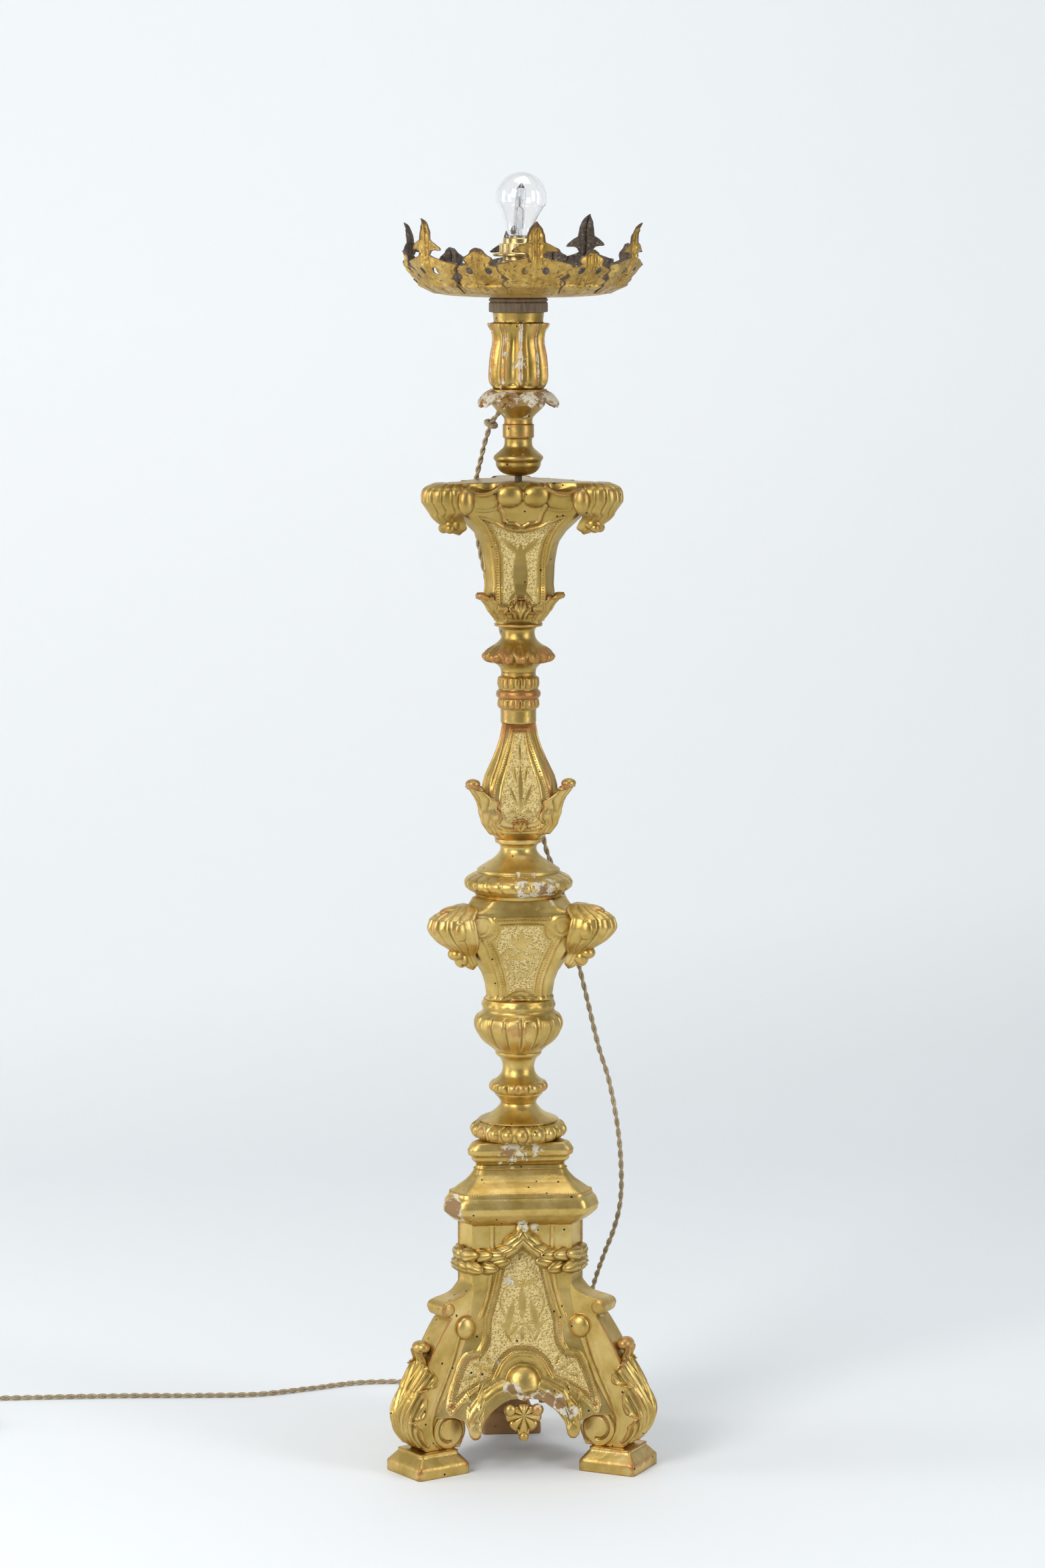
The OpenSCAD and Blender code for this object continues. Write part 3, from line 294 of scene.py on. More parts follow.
def crown_gold():
    """Outside of the sheet crown: yellow leaf with rust specks, worn dark at the cut edges."""
    f = Finish("crown_gold")
    wear = f.tree.nodes.new("ShaderNodeAttribute")
    wear.attribute_name = "wear"
    split = f.tree.nodes.new("ShaderNodeSeparateXYZ")
    f.tree.links.new(wear.outputs["Vector"], split.inputs[0])
    specks = f.ramp(f.noise(230, 6, 0.75), (0.56, 0.0), (0.6, 1.0))
    stains = f.ramp(f.noise(60, 6, 0.7), (0.46, 0.0), (0.66, 1.0))
    rim = f.ramp(f.math("MULTIPLY_ADD", f.noise(120, 5, 0.7), 0.5, f.math("MULTIPLY", split.outputs[1],
                 0.5)), (0.46, 0.0), (0.62, 1.0))
    leaf = f.ramp(f.noise(40, 5), (0.3, (0.38, 0.225, 0.042)), (0.55, (0.56, 0.365, 0.092)),
                  (0.75, (0.68, 0.49, 0.165)))
    colour = f.mix(f.math("MULTIPLY", stains, 0.5), leaf, (0.21, 0.10, 0.02))
    colour = f.mix(f.math("MULTIPLY", f.math("MAXIMUM", specks, rim), 0.9), colour, (0.075, 0.032, 0.014))
    f.link(colour, "Base Color")
    f.link(f.math("SUBTRACT", 0.8, f.math("MULTIPLY", f.math("MAXIMUM", specks, rim), 0.7)), "Metallic")
    f.link(f.math("MULTIPLY_ADD", stains, 0.25, 0.36), "Roughness")
    f.link(f.bump(f.noise(90, 6), 0.0016, 0.5), "Normal")
    return f.material


def crown_inside():
    f = Finish("crown_inside")
    rust = f.ramp(f.noise(110, 8, 0.7), (0.3, (0.035, 0.025, 0.018)), (0.52, (0.11, 0.085, 0.065)),
                  (0.7, (0.22, 0.15, 0.08)))
    pale = f.ramp(f.noise(330, 5, 0.7), (0.57, 0.0), (0.63, 1.0))
    f.link(f.mix(f.math("MULTIPLY", pale, 0.7), rust, (0.42, 0.38, 0.32)), "Base Color")
    f.set(Metallic=0.35)
    f.link(f.math("MULTIPLY_ADD", f.noise(70), 0.3, 0.4), "Roughness")
    f.link(f.bump(f.noise(160, 6), 0.0012, 0.5), "Normal")
    return f.material


def metal(name, dark, light, rough=0.3, scale=120):
    f = Finish(name)
    tone = f.noise(scale, 6, 0.65)
    f.link(f.ramp(tone, (0.3, dark), (0.7, light)), "Base Color")
    f.set(Metallic=1.0)
    f.link(f.math("MULTIPLY_ADD", tone, 0.25, rough - 0.1), "Roughness")
    f.link(f.bump(f.noise(scale * 5), 0.0003, 0.3), "Normal")
    return f.material


def clear_glass(name, rough=0.0):
    f = Finish(name)
    f.set(Base_Color=(1, 1, 1, 1), Roughness=rough, IOR=1.45, Transmission_Weight=1.0)
    f.link(f.bump(f.noise(30, 2), 0.0004, 0.15), "Normal")
    return f.material


def capsule_glass():
    """Thick little glass of the halogen capsule, tinted grey in random patches as painted shade for the dark
    it shows where it bends.
    """
    f = Finish("capsule_glass")
    # painted shade: grey patches in the glass colour
    f.link(f.ramp(f.noise(160, 3), (0.35, (0.72, 0.74, 0.76)), (0.65, (0.96, 0.97, 0.98))), "Base Color")
    f.set(Roughness=0.05, IOR=1.45, Transmission_Weight=0.92)
    return f.material


def cord_cloth():
    """Fabric-covered strand with its fine diagonal weave."""
    f = Finish("cord_cloth")
    weave = f.cells(900)
    tone = f.noise(60, 4)
    f.link(f.mix(f.ramp(weave, (0.2, 0.0), (0.75, 1.0)), f.ramp(tone, (0.3, (0.48, 0.38, 0.235)),
           (0.7, (0.68, 0.56, 0.37))), (0.26, 0.19, 0.10)), "Base Color")
    f.set(Roughness=0.75, Sheen_Weight=0.25, Sheen_Roughness=0.4)
    f.link(f.bump(weave, 0.0004, 0.7), "Normal")
    return f.material


def plastic(name, colour, rough=0.4):
    f = Finish(name)
    tone = f.noise(200, 5)
    f.link(f.ramp(tone, (0.3, tuple(c * 0.8 for c in colour)),
           (0.7, tuple(min(1.0, c * 1.15) for c in colour))), "Base Color")
    f.link(f.math("MULTIPLY_ADD", tone, 0.2, rough - 0.1), "Roughness")
    f.link(f.bump(f.noise(1500, 3), 0.0001, 0.3), "Normal")
    return f.material


GILT = gilding()
DARK_WOOD = old_wood("dark_wood", (0.07, 0.048, 0.03), (0.27, 0.19, 0.115))
BARE_WOOD = old_wood("bare_wood", (0.07, 0.035, 0.017), (0.20, 0.11, 0.055))
CROWN_GOLD = crown_gold()
CROWN_INSIDE = crown_inside()
BRASS = metal("brass", (0.55, 0.40, 0.17), (0.78, 0.62, 0.30), 0.28)
STEEL = metal("nickel", (0.50, 0.49, 0.47), (0.72, 0.71, 0.69), 0.25)
IRON = metal("iron", (0.07, 0.055, 0.045), (0.17, 0.13, 0.10), 0.55)
GLASS = clear_glass("clear_glass")
CAPSULE = capsule_glass()
CERAMIC = plastic("ceramic", (0.72, 0.68, 0.58), 0.3)
CORD = cord_cloth()
TIE = plastic("tie_black", (0.05, 0.045, 0.04), 0.5)
PLUG = plastic("plug_brown", (0.055, 0.03, 0.018), 0.35)

# places where the gesso or the wood shows: x, y, z and reach in mm, and how deep
CHIPS = [(24, -54, 644, 28, 0.9), (4, -58, 642, 22, 0.9), (-12, -40, 349, 24, 1.0), (14, -40, 352, 22, 0.8),
         (0, 108, 16, 52, 2.4), (0, -25, 1106, 18, 0.6), (12, -22, 1098, 14, 0.6),
         (-16, -20, 1110, 12, 0.6), (-80, -47, 290, 24, 1.5), (-74, -50, 280, 14, 1.3),
         (16, -69, 81, 13, 1.2), (28, -70, 79, 15, 1.3), (40, -71, 75, 14, 1.3), (51, -73, 67, 13, 1.1),
         (60, -74, 59, 10, 0.9), (-13, -68, 92, 12, 1.4), (-3, -68, 87, 10, 1.0), (6, -69, 84, 10, 0.9),
         (2, -49, 271, 12, 0.9), (14, -49, 270, 10, 0.8), (30, -46, 288, 10, 0.7), (-52, -40, 282, 9, 0.7),
         (88, -52, 178, 15, 0.9), (-12, -50, 207, 10, 0.9), (42, -58, 120, 20, 0.6),
         (30, -58, 122, 14, 0.5), (-24, -58, 122, 10, 0.8), (10, -33, 1238, 16, 0.6),
         (-14, -27, 1218, 20, 0.6), (-18, -22, 1230, 16, 0.6), (4, -30, 1215, 14, 0.6),
         (22, -22, 1205, 18, 0.5), (-10, -10, 1176, 46, 0.5), (-32, -42, 1074, 12, 1.0),
         (-14, -46, 1076, 13, 0.6), (40, -42, 1062, 10, 0.7), (8, -14, 1110, 16, 0.4),
         (-60, -70, 28, 14, 0.7), (70, -84, 16, 14, 0.6), (0, -46, 660, 12, 0.5), (6, -22, 795, 9, 0.8),
         (-14, -36, 1000, 12, 0.7), (-14, -34, 975, 14, 0.7), (60, -60, 1046, 8, 0.7),
         (-30, -50, 308, 9, 0.6), (20, -78, 290, 12, 0.4)]


def wear_at(x, y, z):
    best = 0.0
    for cx, cy, cz, reach, depth in CHIPS:
        if abs(z - cz) < reach:
            far = math.dist((x, y, z), (cx, cy, cz))
            if far < reach:
                best = max(best, depth * (1 - far / reach) ** 0.6)
    return best


# ---- making pieces ----

def piece(form, name, nodes, stuff=(GILT,), body="stand", soft=True):
    """Turn the form into an object that stands for the CAD nodes."""
    if GILT in stuff:
        wear = worn(form)
        for v in form.verts:
            chip = wear_at(*(v.co / MM))
            if chip > v[wear].z:
                v[wear] = (v[wear].x, v[wear].y, chip)
    mesh = bpy.data.meshes.new(name)
    form.to_mesh(mesh)
    form.free()
    thing = bpy.data.objects.new(name, mesh)
    scene.collection.objects.link(thing)
    for m in stuff:
        mesh.materials.append(m)
    if soft:
        mesh.shade_smooth()
    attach(thing, body)
    if nodes:
        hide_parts(*nodes)
    return thing


def spun(outline, turns=280):
    """Outline of radius and height spun about the column's axis, in twelve equal wedges."""
    wedge = bmesh.new()
    line = [wedge.verts.new((r * MM, 0, z * MM)) for r, z in outline]
    edges = [wedge.edges.new(pair) for pair in zip(line, line[1:])]
    bmesh.ops.spin(wedge, geom=line + edges, cent=(0, 0, 0), axis=(0, 0, 1), angle=math.tau / 12,
                   steps=turns // 12, use_merge=False)
    mesh = bpy.data.meshes.new("wedge")
    wedge.to_mesh(mesh)
    wedge.free()
    form = bmesh.new()
    for _ in range(12):
        form.from_mesh(mesh)
        mesh.transform(Matrix.Rotation(math.tau / 12, 4, "Z"))
    bpy.data.meshes.remove(mesh)
    bmesh.ops.remove_doubles(form, verts=form.verts, dist=2e-6)
    bmesh.ops.recalc_face_normals(form, faces=form.faces)
    return form


def sheet(across, along):
    """Flat grid from -1 to 1 across and 0 to 1 along, in mm."""
    form = bmesh.new()
    bmesh.ops.create_grid(form, x_segments=across, y_segments=along, size=1)
    for v in form.verts:
        v.co = Vector((v.co.x, (v.co.y + 1) / 2, 0)) * MM
    return form


def worn(form):
    """Where the form keeps its punched ground, bole and chips."""
    layers = form.verts.layers.float_vector
    return layers.get("wear") or layers.new("wear")


def carve(form, cut):
    """Move each point to where the cut says, and keep its wear."""
    wear = worn(form)
    for v in form.verts:
        where, look = cut(*(v.co / MM))
        v.co = Vector(where) * MM
        v[wear] = look
    return form


def carve_round(form, cut):
    """As carve, where the cut takes and gives radius, angle in degrees and height."""
    def round_cut(x, y, z):
        a = math.degrees(math.atan2(y, x))
        r, high, *look = cut(math.hypot(x, y), a, z)
        return (r * math.cos(math.radians(a)), r * math.sin(math.radians(a)), high), look
    return carve(form, round_cut)


def turn_to(form, a):
    bmesh.ops.rotate(form, verts=form.verts, cent=(0, 0, 0), matrix=Matrix.Rotation(math.radians(a), 3,
                     "Z"))
    return form


def thicken(form, wall, way=None):
    """Give a sheet its wall, inwards or along the given way, in mm."""
    form.normal_update()
    out = bmesh.ops.extrude_face_region(form, geom=form.faces[:], use_keep_orig=True)
    for v in out["geom"]:
        if isinstance(v, bmesh.types.BMVert):
            v.co += (Vector(way) if way else v.normal * -1) * wall * MM
    bmesh.ops.recalc_face_normals(form, faces=form.faces)
    return form


def three(form, node, places):
    """The same carving in all three directions."""
    for side, a in places.items():
        piece(turn_to(form.copy(), a), "gilt_" + node + "_" + side, [node + "_" + side])
    form.free()


def beads(places, size):
    """Small round beads at the places, in mm."""
    bead = bmesh.new()
    bmesh.ops.create_icosphere(bead, subdivisions=1, radius=size * MM)
    mesh = bpy.data.meshes.new("bead")
    bead.to_mesh(mesh)
    bead.free()
    form = bmesh.new()
    here = Vector()
    for p in places:
        there = Vector(p) * MM
        mesh.transform(Matrix.Translation(there - here))
        form.from_mesh(mesh)
        here = there
    worn(form)
    bpy.data.meshes.remove(mesh)
    return form


def egg(middle, radii, bole=0.2):
    """Rounded boss of three radii."""
    form = bmesh.new()
    bmesh.ops.create_uvsphere(form, u_segments=28, v_segments=18, radius=MM)
    return carve(form, lambda x, y, z: ([c + r * k for c, r, k in zip(middle, radii, (x, y, z))],
                 (0, bole, 0)))


def spaced(line, pitch):
    """Points at even distances along a line."""
    out, left = [line[0]], pitch
    for a, b in zip(line, line[1:]):
        length, done = math.dist(a, b), 0.0
        while length - done >= left:
            done += left
            out.append(tuple(p + (q - p) * done / length for p, q in zip(a, b)))
            left = pitch
        left -= length - done
    return out


def join(*forms):
    """One form of several."""
    out = bmesh.new()
    worn(out)
    for form in forms:
        mesh = bpy.data.meshes.new("part")
        form.to_mesh(mesh)
        form.free()
        out.from_mesh(mesh)
        bpy.data.meshes.remove(mesh)
    return out


def three_sided(levels, cut, rise=1.3, turns=280):
    """Canted column piece; the cut gives its relief from side, height and angle."""
    low, high = levels[0][0], levels[-1][0]
    shape = ([(0, low), (0.5, low), (0.9, low)] + fine([(1, low), (1, high)], rise) + [(0.9, high),
             (0.5, high), (0, high)])

    known = {}

    def relief(r, a, z):
        key = (round(r, 3), round(abs(from_side(a)), 3), round(z, 3))
        if key not in known:
            edge = canted(*between(levels, z), a)
            high, *look = (cut(edge * math.sin(math.radians(from_side(a))), z, a) if r > 0.99
                           else (0, 0, 0, 0))
            known[key] = (r * edge + high, z, *look)
        return known[key]
    return carve_round(spun(shape, turns), relief)


def side_of(levels, z):
    c, e = between(levels, z)
    return c / 2 + e * 0.866


def beaded(levels, border, pitch, size, gap, proud=0.0):
    """Beads along a half border, on all three sides."""
    half = spaced(inset(border, gap), pitch)
    places = []
    for s, z in half:
        for a in SIDES.values():
            for sign in ((1, -1) if s > 0.5 else (1,)):
                places.append(turned((side_of(levels, z) + proud, sign * s, z), a))
    return beads(places, size)


def petals(s, z, shapes):
    """How far inside any of the burnished petals and rings the point lies, 0 to 1."""
    best = 0.0
    for cs, cz, long, wide, lean in shapes:
        ds, dz = abs(s) - cs, z - cz
        if not long:
            best = max(best, step(lean - abs(math.hypot(ds, dz) - wide), -0.4, 0.5))
            continue
        c, n = math.cos(math.radians(lean)), math.sin(math.radians(lean))
        u, v = ds * n + dz * c, ds * c - dz * n
        k = 1 - (abs(u) / long) ** 2
        if k > 0:
            best = max(best, step(wide * k - abs(v), -0.4, 0.5))
    return best


def framed(s, z, border, inner, motif, tall=1.7, sunk=1.2):
    """Raised rim on the border, a smooth band, and a punched ground inside with the burnished motif."""
    deep, _ = from_border(border, s, z)
    if deep < -2.4:
        return 0.0, 0, 0, 0
    high = tall * hill(deep + 0.7, 1.7) - sunk * step(deep, 0.6, 2.2)
    core, _ = from_border(inner, s, z)
    high += 0.9 * hill(core + 0.9, 1.1) - 0.5 * step(core, -0.2, 0.6)
    ground = step(core, 0.1, 0.8)
    if ground:
        shine = petals(s, z, motif)
        high += 0.8 * shine
        ground *= 1 - shine
    return high, ground, 0.35 * hill(deep + 2.2, 1.6), 0


# ---- base ----

FOOT = [(0, 0), (33, 0), (33.5, 1.5), (33.5, 11), (32.5, 13), (28.5, 18), (24.5, 23), (24.5, 26), (0, 26)]


def feet():
    def block(r, b, z):
        c, n = abs(math.cos(math.radians(b))), abs(math.sin(math.radians(b)))
        return r / (c ** 22 + n ** 22) ** (1 / 22), z, 0, 0.35 if z > 8 else 0.1, 0
    form = carve_round(spun(fine(FOOT, 2.5), 120), block)
    bmesh.ops.translate(form, verts=form.verts, vec=(0.1215, 0, 0))
    three(form, "foot", CORNERS)


LEG_OUT = smooth([(70, 272), (70, 230), (70, 210), (74, 202), (84, 194), (102, 190), (110, 187), (112, 181),
                 (107, 175), (101, 172), (106, 165), (116, 150), (124, 136), (136, 110), (148.5, 86),
                 (154.5, 68), (152.5, 50), (141.5, 33), (133.5, 26)], 8)
LEG_IN = smooth([(36, 272), (36, 230), (36, 162), (48, 122), (66.5, 96), (79.5, 70), (84.5, 50), (85.5, 34),
                (89.5, 26)], 12)


def along(line, t):
    """Point at share t of the line's length."""
    lengths = [math.dist(a, b) for a, b in zip(line, line[1:])]
    left = t * sum(lengths)
    for (a, b), length in zip(zip(line, line[1:]), lengths):
        if left <= length:
            return tuple(p + (q - p) * left / length for p, q in zip(a, b))
        left -= length
    return line[-1]


RIDGE = [(26, 113), (34, 121), (44, 126), (58, 127), (80, 119), (100, 109), (130, 96), (150, 90), (168, 86)]


def leg_slab():
    """Scroll leg as a slab swept from neck to foot, with a thin ridge along its side faces."""
    count = 150
    outs = [along(LEG_OUT, k / count) for k in range(count + 1)]
    ins = [along(LEG_IN, k / count) for k in range(count + 1)]
    form = sheet(144, count)
    ring = [(1, -15), (1, 15), (0, 15), (0, -15), (1, -15)]

    def cut(x, y, z):
        # x runs once round the section, y from neck to foot
        k = min(count, max(0, round(y * count)))
        (ro, zo), (ri, zi) = outs[k], ins[k]
        i = min(3, int((x + 1) * 2))
        f = (x + 1) * 2 - i
        share, side = (a + (b - a) * f for a, b in zip(ring[i], ring[i + 1]))
        r, high = ri + (ro - ri) * share, zi + (zo - zi) * share
        bole = 0.1 + 0.35 * hill(15 - abs(side), 3)
        if i in (1, 3):
            bole = 0.5 * hill(math.dist((ro, zo), (ri, zi)) * (1 - share), 3)
            if 27 < high < 166:
                past = r - between(RIDGE, high)[0]
                lift = 1.9 * hill(past, 2.2) - 0.9 * (1 - step(past, -1.5, 0.5)) * step(share, 0.0, 0.1)
                side += lift if side > 0 else -lift
                bole = max(bole, 0.3 * hill(past, 1.6))
        return (r, side, high), (0, bole, 0)
    carve(form, cut)
    bmesh.ops.remove_doubles(form, verts=form.verts, dist=1e-5)
    ends = [e for e in form.edges if e.is_boundary]
    bmesh.ops.holes_fill(form, edges=ends, sides=0)
    bmesh.ops.recalc_face_normals(form, faces=form.faces)
    return form


def volute(at, size, thick, dome, start, sense):
    """Scroll end: a disc whose two faces carry one turn of a spiral groove."""
    shape = (fine([(0, -thick), (size, -thick)], 0.8) + fine([(size, -thick), (size, thick)], 3)
             + fine([(size, thick), (0, thick)], 0.8))

    def spiral(r, a, z):
        turn = ((a * sense - start) % 360) / 360
        near = r - size * (0.92 - 0.36 * turn)
        groove = 1.9 * hill(near, 1.8) * step(turn, 0.0, 0.06)
        high = dome * math.sqrt(hill(r, size * (0.92 - 0.36 * turn))) - 0.9 * hill(r - size, 1.4) - groove
        return (r, z + (high if z > 0 else -high) * (1 if abs(z) > thick - 0.01 else 0), 0,
                0.6 * hill(near - 1, 2.4), 0)
    form = carve_round(spun(shape, 120), spiral)
    for v in form.verts:
        v.co = Vector((v.co.x + at[0] * MM, -v.co.z, v.co.y + at[1] * MM))
    bmesh.ops.recalc_face_normals(form, faces=form.faces)
    return form


def roll(at, size, thick):
    """Rolled end: a cylinder across the leg with softly domed faces."""
    shape = [(0, -thick), (size * 0.7, -thick + 0.8), (size, -thick + 3), (size, thick - 3),
             (size * 0.7, thick - 0.8), (0, thick)]
    form = carve_round(spun(fine(shape, 1.5), 60), lambda r, a,
                       z: (r, z, 0, 0.55 * step(abs(z), thick - 5, thick - 2), 0))
    for v in form.verts:
        v.co = Vector((v.co.x + at[0] * MM, -v.co.z, v.co.y + at[1] * MM))
    bmesh.ops.recalc_face_normals(form, faces=form.faces)
    return form


def legs():
    three(join(leg_slab(), volute((103.5, 46), 20.5, 17.6, 0.6, 100, -1), volute((81.7, 159), 14, 16.2, 0,
          -60, 1), egg((81, 16, 158), (13, 6.5, 13)), egg((81, -16, 158), (13, 6.5, 13)),
          roll((103, 181), 9, 16.8)), "leg", CORNERS)


LEAF_SEAT = [p for p in reversed(LEG_OUT) if 32 < p[1] < 145]


def leg_leaves():
    """Acanthus leaf that wraps the outer edge of a leg: its lobes fold on to the sides, its tip curls out."""
    seat = [(z, r) for r, z in LEAF_SEAT]
    form = sheet(66, 100)

    def cut(x, y, z):
        high = 33 + 106 * y
        lobe = 1 - (1 - abs(math.sin(math.pi * (3.15 * y + 0.1)))) ** 2
        half = (14 - 6 * step(y, 0.72, 0.92) + (5 + 16 * lobe * (0.55 + 0.45 * math.sin(math.pi * y)))
                * (1 - step(y, 0.74, 0.88)))
        u = abs(x) * half
        bend = min(math.pi / 2, max(0.0, (u - 12.5) / 4))
        s = min(u, 12.5) + 4 * math.sin(bend) + (1.2 if bend else 0)
        drop = 4 * (1 - math.cos(bend)) + max(0.0, u - 12.5 - 2 * math.pi)
        vein = (1.5 * math.cos(math.tau * (u / 6.8 - 3 * y)) * (1 - 0.3 * abs(x)) + 1.6 * hill(u, 2)
                + 4.0 * step(abs(x), 0.8, 1))
        r0 = between(seat, min(144, high))[0]
        rise = (2.4 + 4.4 * math.sin(math.pi * min(1, y * 1.1)) + vein * math.cos(bend) + 9 * step(y, 0.84,
                1.0))
        s += vein * math.sin(bend)
        return ((r0 + rise - drop, math.copysign(s, x), high - 0.35 * drop * lobe),
                (0, 0.5 * step(y, 0.84, 0.95) + 0.45 * hill(abs(x) - 1, 0.08), 0))
    thicken(carve(form, cut), 3)
    r = between(seat, 140)[0]
    three(join(form, egg((r + 8.5, 0, 140.5), (9, 12, 7.6), 0.3)), "leg_leaf", CORNERS)


APRON_D = [(0, 78), (60, 74), (100, 62), (150, 52), (200, 48), (272, 48)]
ARCH = [(0, 78), (6, 80.5), (15, 80), (24, 76), (36, 67), (44, 57), (47, 49), (47.5, 42), (51, 38),
        (56, 37.5), (60, 42), (62, 50), (66, 58), (76, 62), (104, 62)]
OPENING = [(0, 0)] + ARCH[:10] + [(51, 0)]
FIELD = (smooth([(0, 131), (7, 130.4), (14, 127.5), (23, 119), (29, 107), (34, 100), (50, 93), (66, 82),
         (80, 68)], 3)[:-1] + smooth([(80, 68), (82, 74), (79, 90), (72, 110), (65, 125), (60, 129),
         (50, 131), (44, 138), (41.5, 147), (41, 157), (40.5, 167), (37.5, 177), (34, 189), (31, 201),
         (28.5, 212), (26, 224)], 3) + [(20, 236), (10, 246), (0, 252)])
FLOWERS = [(0, 183, 19, 4.2, 0), (0, 184, 0, 24, 1.0), (14, 168, 21, 3.8, -14), (20, 158, 9, 2.6, 48),
           (9, 154, 9, 2.4, -40), (16, 147, 9, 2.4, 30), (7, 206, 12, 2.4, 60), (0, 150, 8, 3.2, 0),
           (46, 114, 15, 3.2, 62), (57, 104, 10, 2.4, 110), (38, 121, 9, 2.2, 20)]
FIELD_INNER = inset(FIELD, 6)
APRON_EDGE = [(168, 47), (176, 43.5), (188, 40), (200, 37), (220, 34), (236, 33)]


def aprons():
    form = sheet(136, 130)
    known = {}

    def cut(x, y, z):
        key = (round(abs(x), 4), round(y, 4))
        if key not in known:
            known[key] = half(abs(x), y)
        (d, s, high), look = known[key]
        return (d, s if x > 0 else -s, high), look

    def half(x, y):
        s, high = x * 60, 100 + y * 100
        for _ in range(5):
            s = x * (1.732 * between(APRON_D, high)[0] - 28)
            low = between(ARCH, abs(s))[0]
            high = low + (272 - low) * y
        d = between(APRON_D, high)[0]
        rise, ground, bole, chip = framed(s, high, FIELD, FIELD_INNER, FLOWERS, 2.0, 1.6)
        # the arch: splayed edge, a roll over it, a half dome on the crest, and a beaded groove round both
        past = -from_border(OPENING, s, high)[0]
        dome = math.hypot(s, high - 98.5) - 18.5
        if abs(s) < 62:
            rise += 4.2 * math.sqrt(hill(past - 15.5, 6)) - 2.6 * hill(past - 5.5, 6)
            if dome < 0 and past > 3:
                rise = max(rise, 10.5 * math.sqrt(hill(dome + 18.5, 18.5)) * step(past, 3, 12))
            around = min(past - 22, dome)
            rise += 1.7 * hill(around - 9.5, 4.6) - 1.5 * hill(around - 2.6, 2.6)
            bole = max(bole, 0.4 * hill(past - 1, 2), 0.3 * hill(past - 15.5, 2))
        lobe = math.hypot(abs(s) - 53.5, high - 46)
        rise = max(rise, 3.4 * math.sqrt(hill(lobe, 9.5)))
        if high > 168:
            rise += 2.2 * hill(abs(s) - between(APRON_EDGE, high)[0], 2.6)
        return (d + rise, s, high), (ground, bole, chip)
    carve(form, cut)
    thicken(form, 9, (-1, 0, 0))
    rows = []
    for border, gap, pitch in ((FIELD, 0.6, 3.2), (FIELD_INNER, -0.8, 2.7)):
        for s, z in spaced(inset(border, gap), pitch):
            if z < 246:
                rows += [(between(APRON_D, z)[0] + 1.0, k * s, z) for k in ((1, -1) if s > 0.5 else (1,))]
    for k in range(30):
        b = math.radians(6 + 168 * k / 29)
        rows.append((between(APRON_D, 99 + 21.5 * math.sin(b))[0] - 0.2, 21.5 * math.cos(b),
                    99 + 21.5 * math.sin(b)))
    three(join(form, beads(rows, 1.05)), "apron", SIDES)


def pendants():
    """Five-lobed scallop shell with two curls, hung under the arch."""
    form = spun(fine([(0, -1), (1, -1)], 0.08) + fine([(1, -1), (1, 1)], 0.5) + fine([(1, 1), (0, 1)],
                0.08), 144)

    def cut(x, y, z):
        r, b = math.hypot(x, y), math.degrees(math.atan2(x, -y))   # b = 0 points down
        ray = abs(math.cos(math.pi * b / 42))
        lobe = math.sqrt(1 - (1 - ray) ** 2)
        reach = (20 + 6 * hill(b, 30) - 7 * step(abs(b), 100, 150)) * (0.74 + 0.26 * lobe)
        out = ((5 * (1 - r ** 3) + 4.2 * r * (1.15 - r) * 3 * (lobe - 0.6) + 1.6 * hill(r - 0.93, 0.09))
               * (1 if z > 0 else -0.5))
        return ((63.5 + out, r * reach * math.sin(math.radians(b)),
                62 - r * reach * math.cos(math.radians(b))), (0, 0.3 * hill(r - 1, 0.1), 0))
    carve(form, cut)
    bmesh.ops.recalc_face_normals(form, faces=form.faces)
    curls = [egg((67, side * 15, 68), (5.5, 7, 7)) for side in (1, -1)]
    three(join(form, *curls, egg((67, 0, 38), (4.5, 5.5, 5))), "pendant", SIDES)


def garland():
    """Two rows of veined leaves round the neck, laid like shingles and rising to the middle of each side."""
    random.seed(4)
    forms = []
    for corner in CORNERS.values():
        for k in range(12):
            off = -55 + 10 * k
            side = 1 if off > 0 else -1
            up = step(abs(off), 22, 56)
            for row in (1, -1):
                b = corner + off + (3.5 if row > 0 else -1.5) * side
                tilt = math.radians(-side * (90 - 46 * up - 8 * row + random.uniform(-6, 6)))
                r = canted(70, 15, b, 40) + (2.4 if row > 0 else 3.6)
                z = 231 + 25 * up ** 1.3 + row * (6.6 - 1.5 * up)
                form = bmesh.new()
                bmesh.ops.create_uvsphere(form, u_segments=32, v_segments=16, radius=MM)

                def leaf(x, y, h):
                    veins = 1 + 0.17 * math.cos(3.4 * math.pi * x / (1 - 0.4 * h * h)) * (1 - h * h)
                    wide, out, long = x * 8.6 * (1 - 0.3 * h), y * 6 * veins * (1 - 0.2 * h), h * 13.5
                    c, n = math.cos(tilt), math.sin(tilt)
                    return (turned((r + out, wide * c - long * n, z + wide * n + long * c), b),
                            (0, 0.25 * hill(y - 1, 0.3), 0))
                forms.append(carve(form, leaf))
    piece(join(*forms), "gilt_garland", ["garland"])


# ---- column ----

CAP = [(272, 72, 15.5), (274.5, 78, 16), (278.3, 83, 17), (284.6, 90, 18), (290.9, 91.5, 18.5),
       (298.5, 89, 18), (304.8, 84, 17), (307.3, 82, 16), (312.3, 75, 14), (318.6, 66, 10), (325, 60, 7.5),
       (331.2, 56, 6), (335, 55, 5.5)]
PLINTH = [(335, 54, 5.5), (338, 57, 5.5), (340, 59, 6), (343.5, 61, 6.2), (347.5, 65, 6.6),
          (352.5, 65.5, 6.6), (356.5, 63, 6.4), (360, 60, 6)]


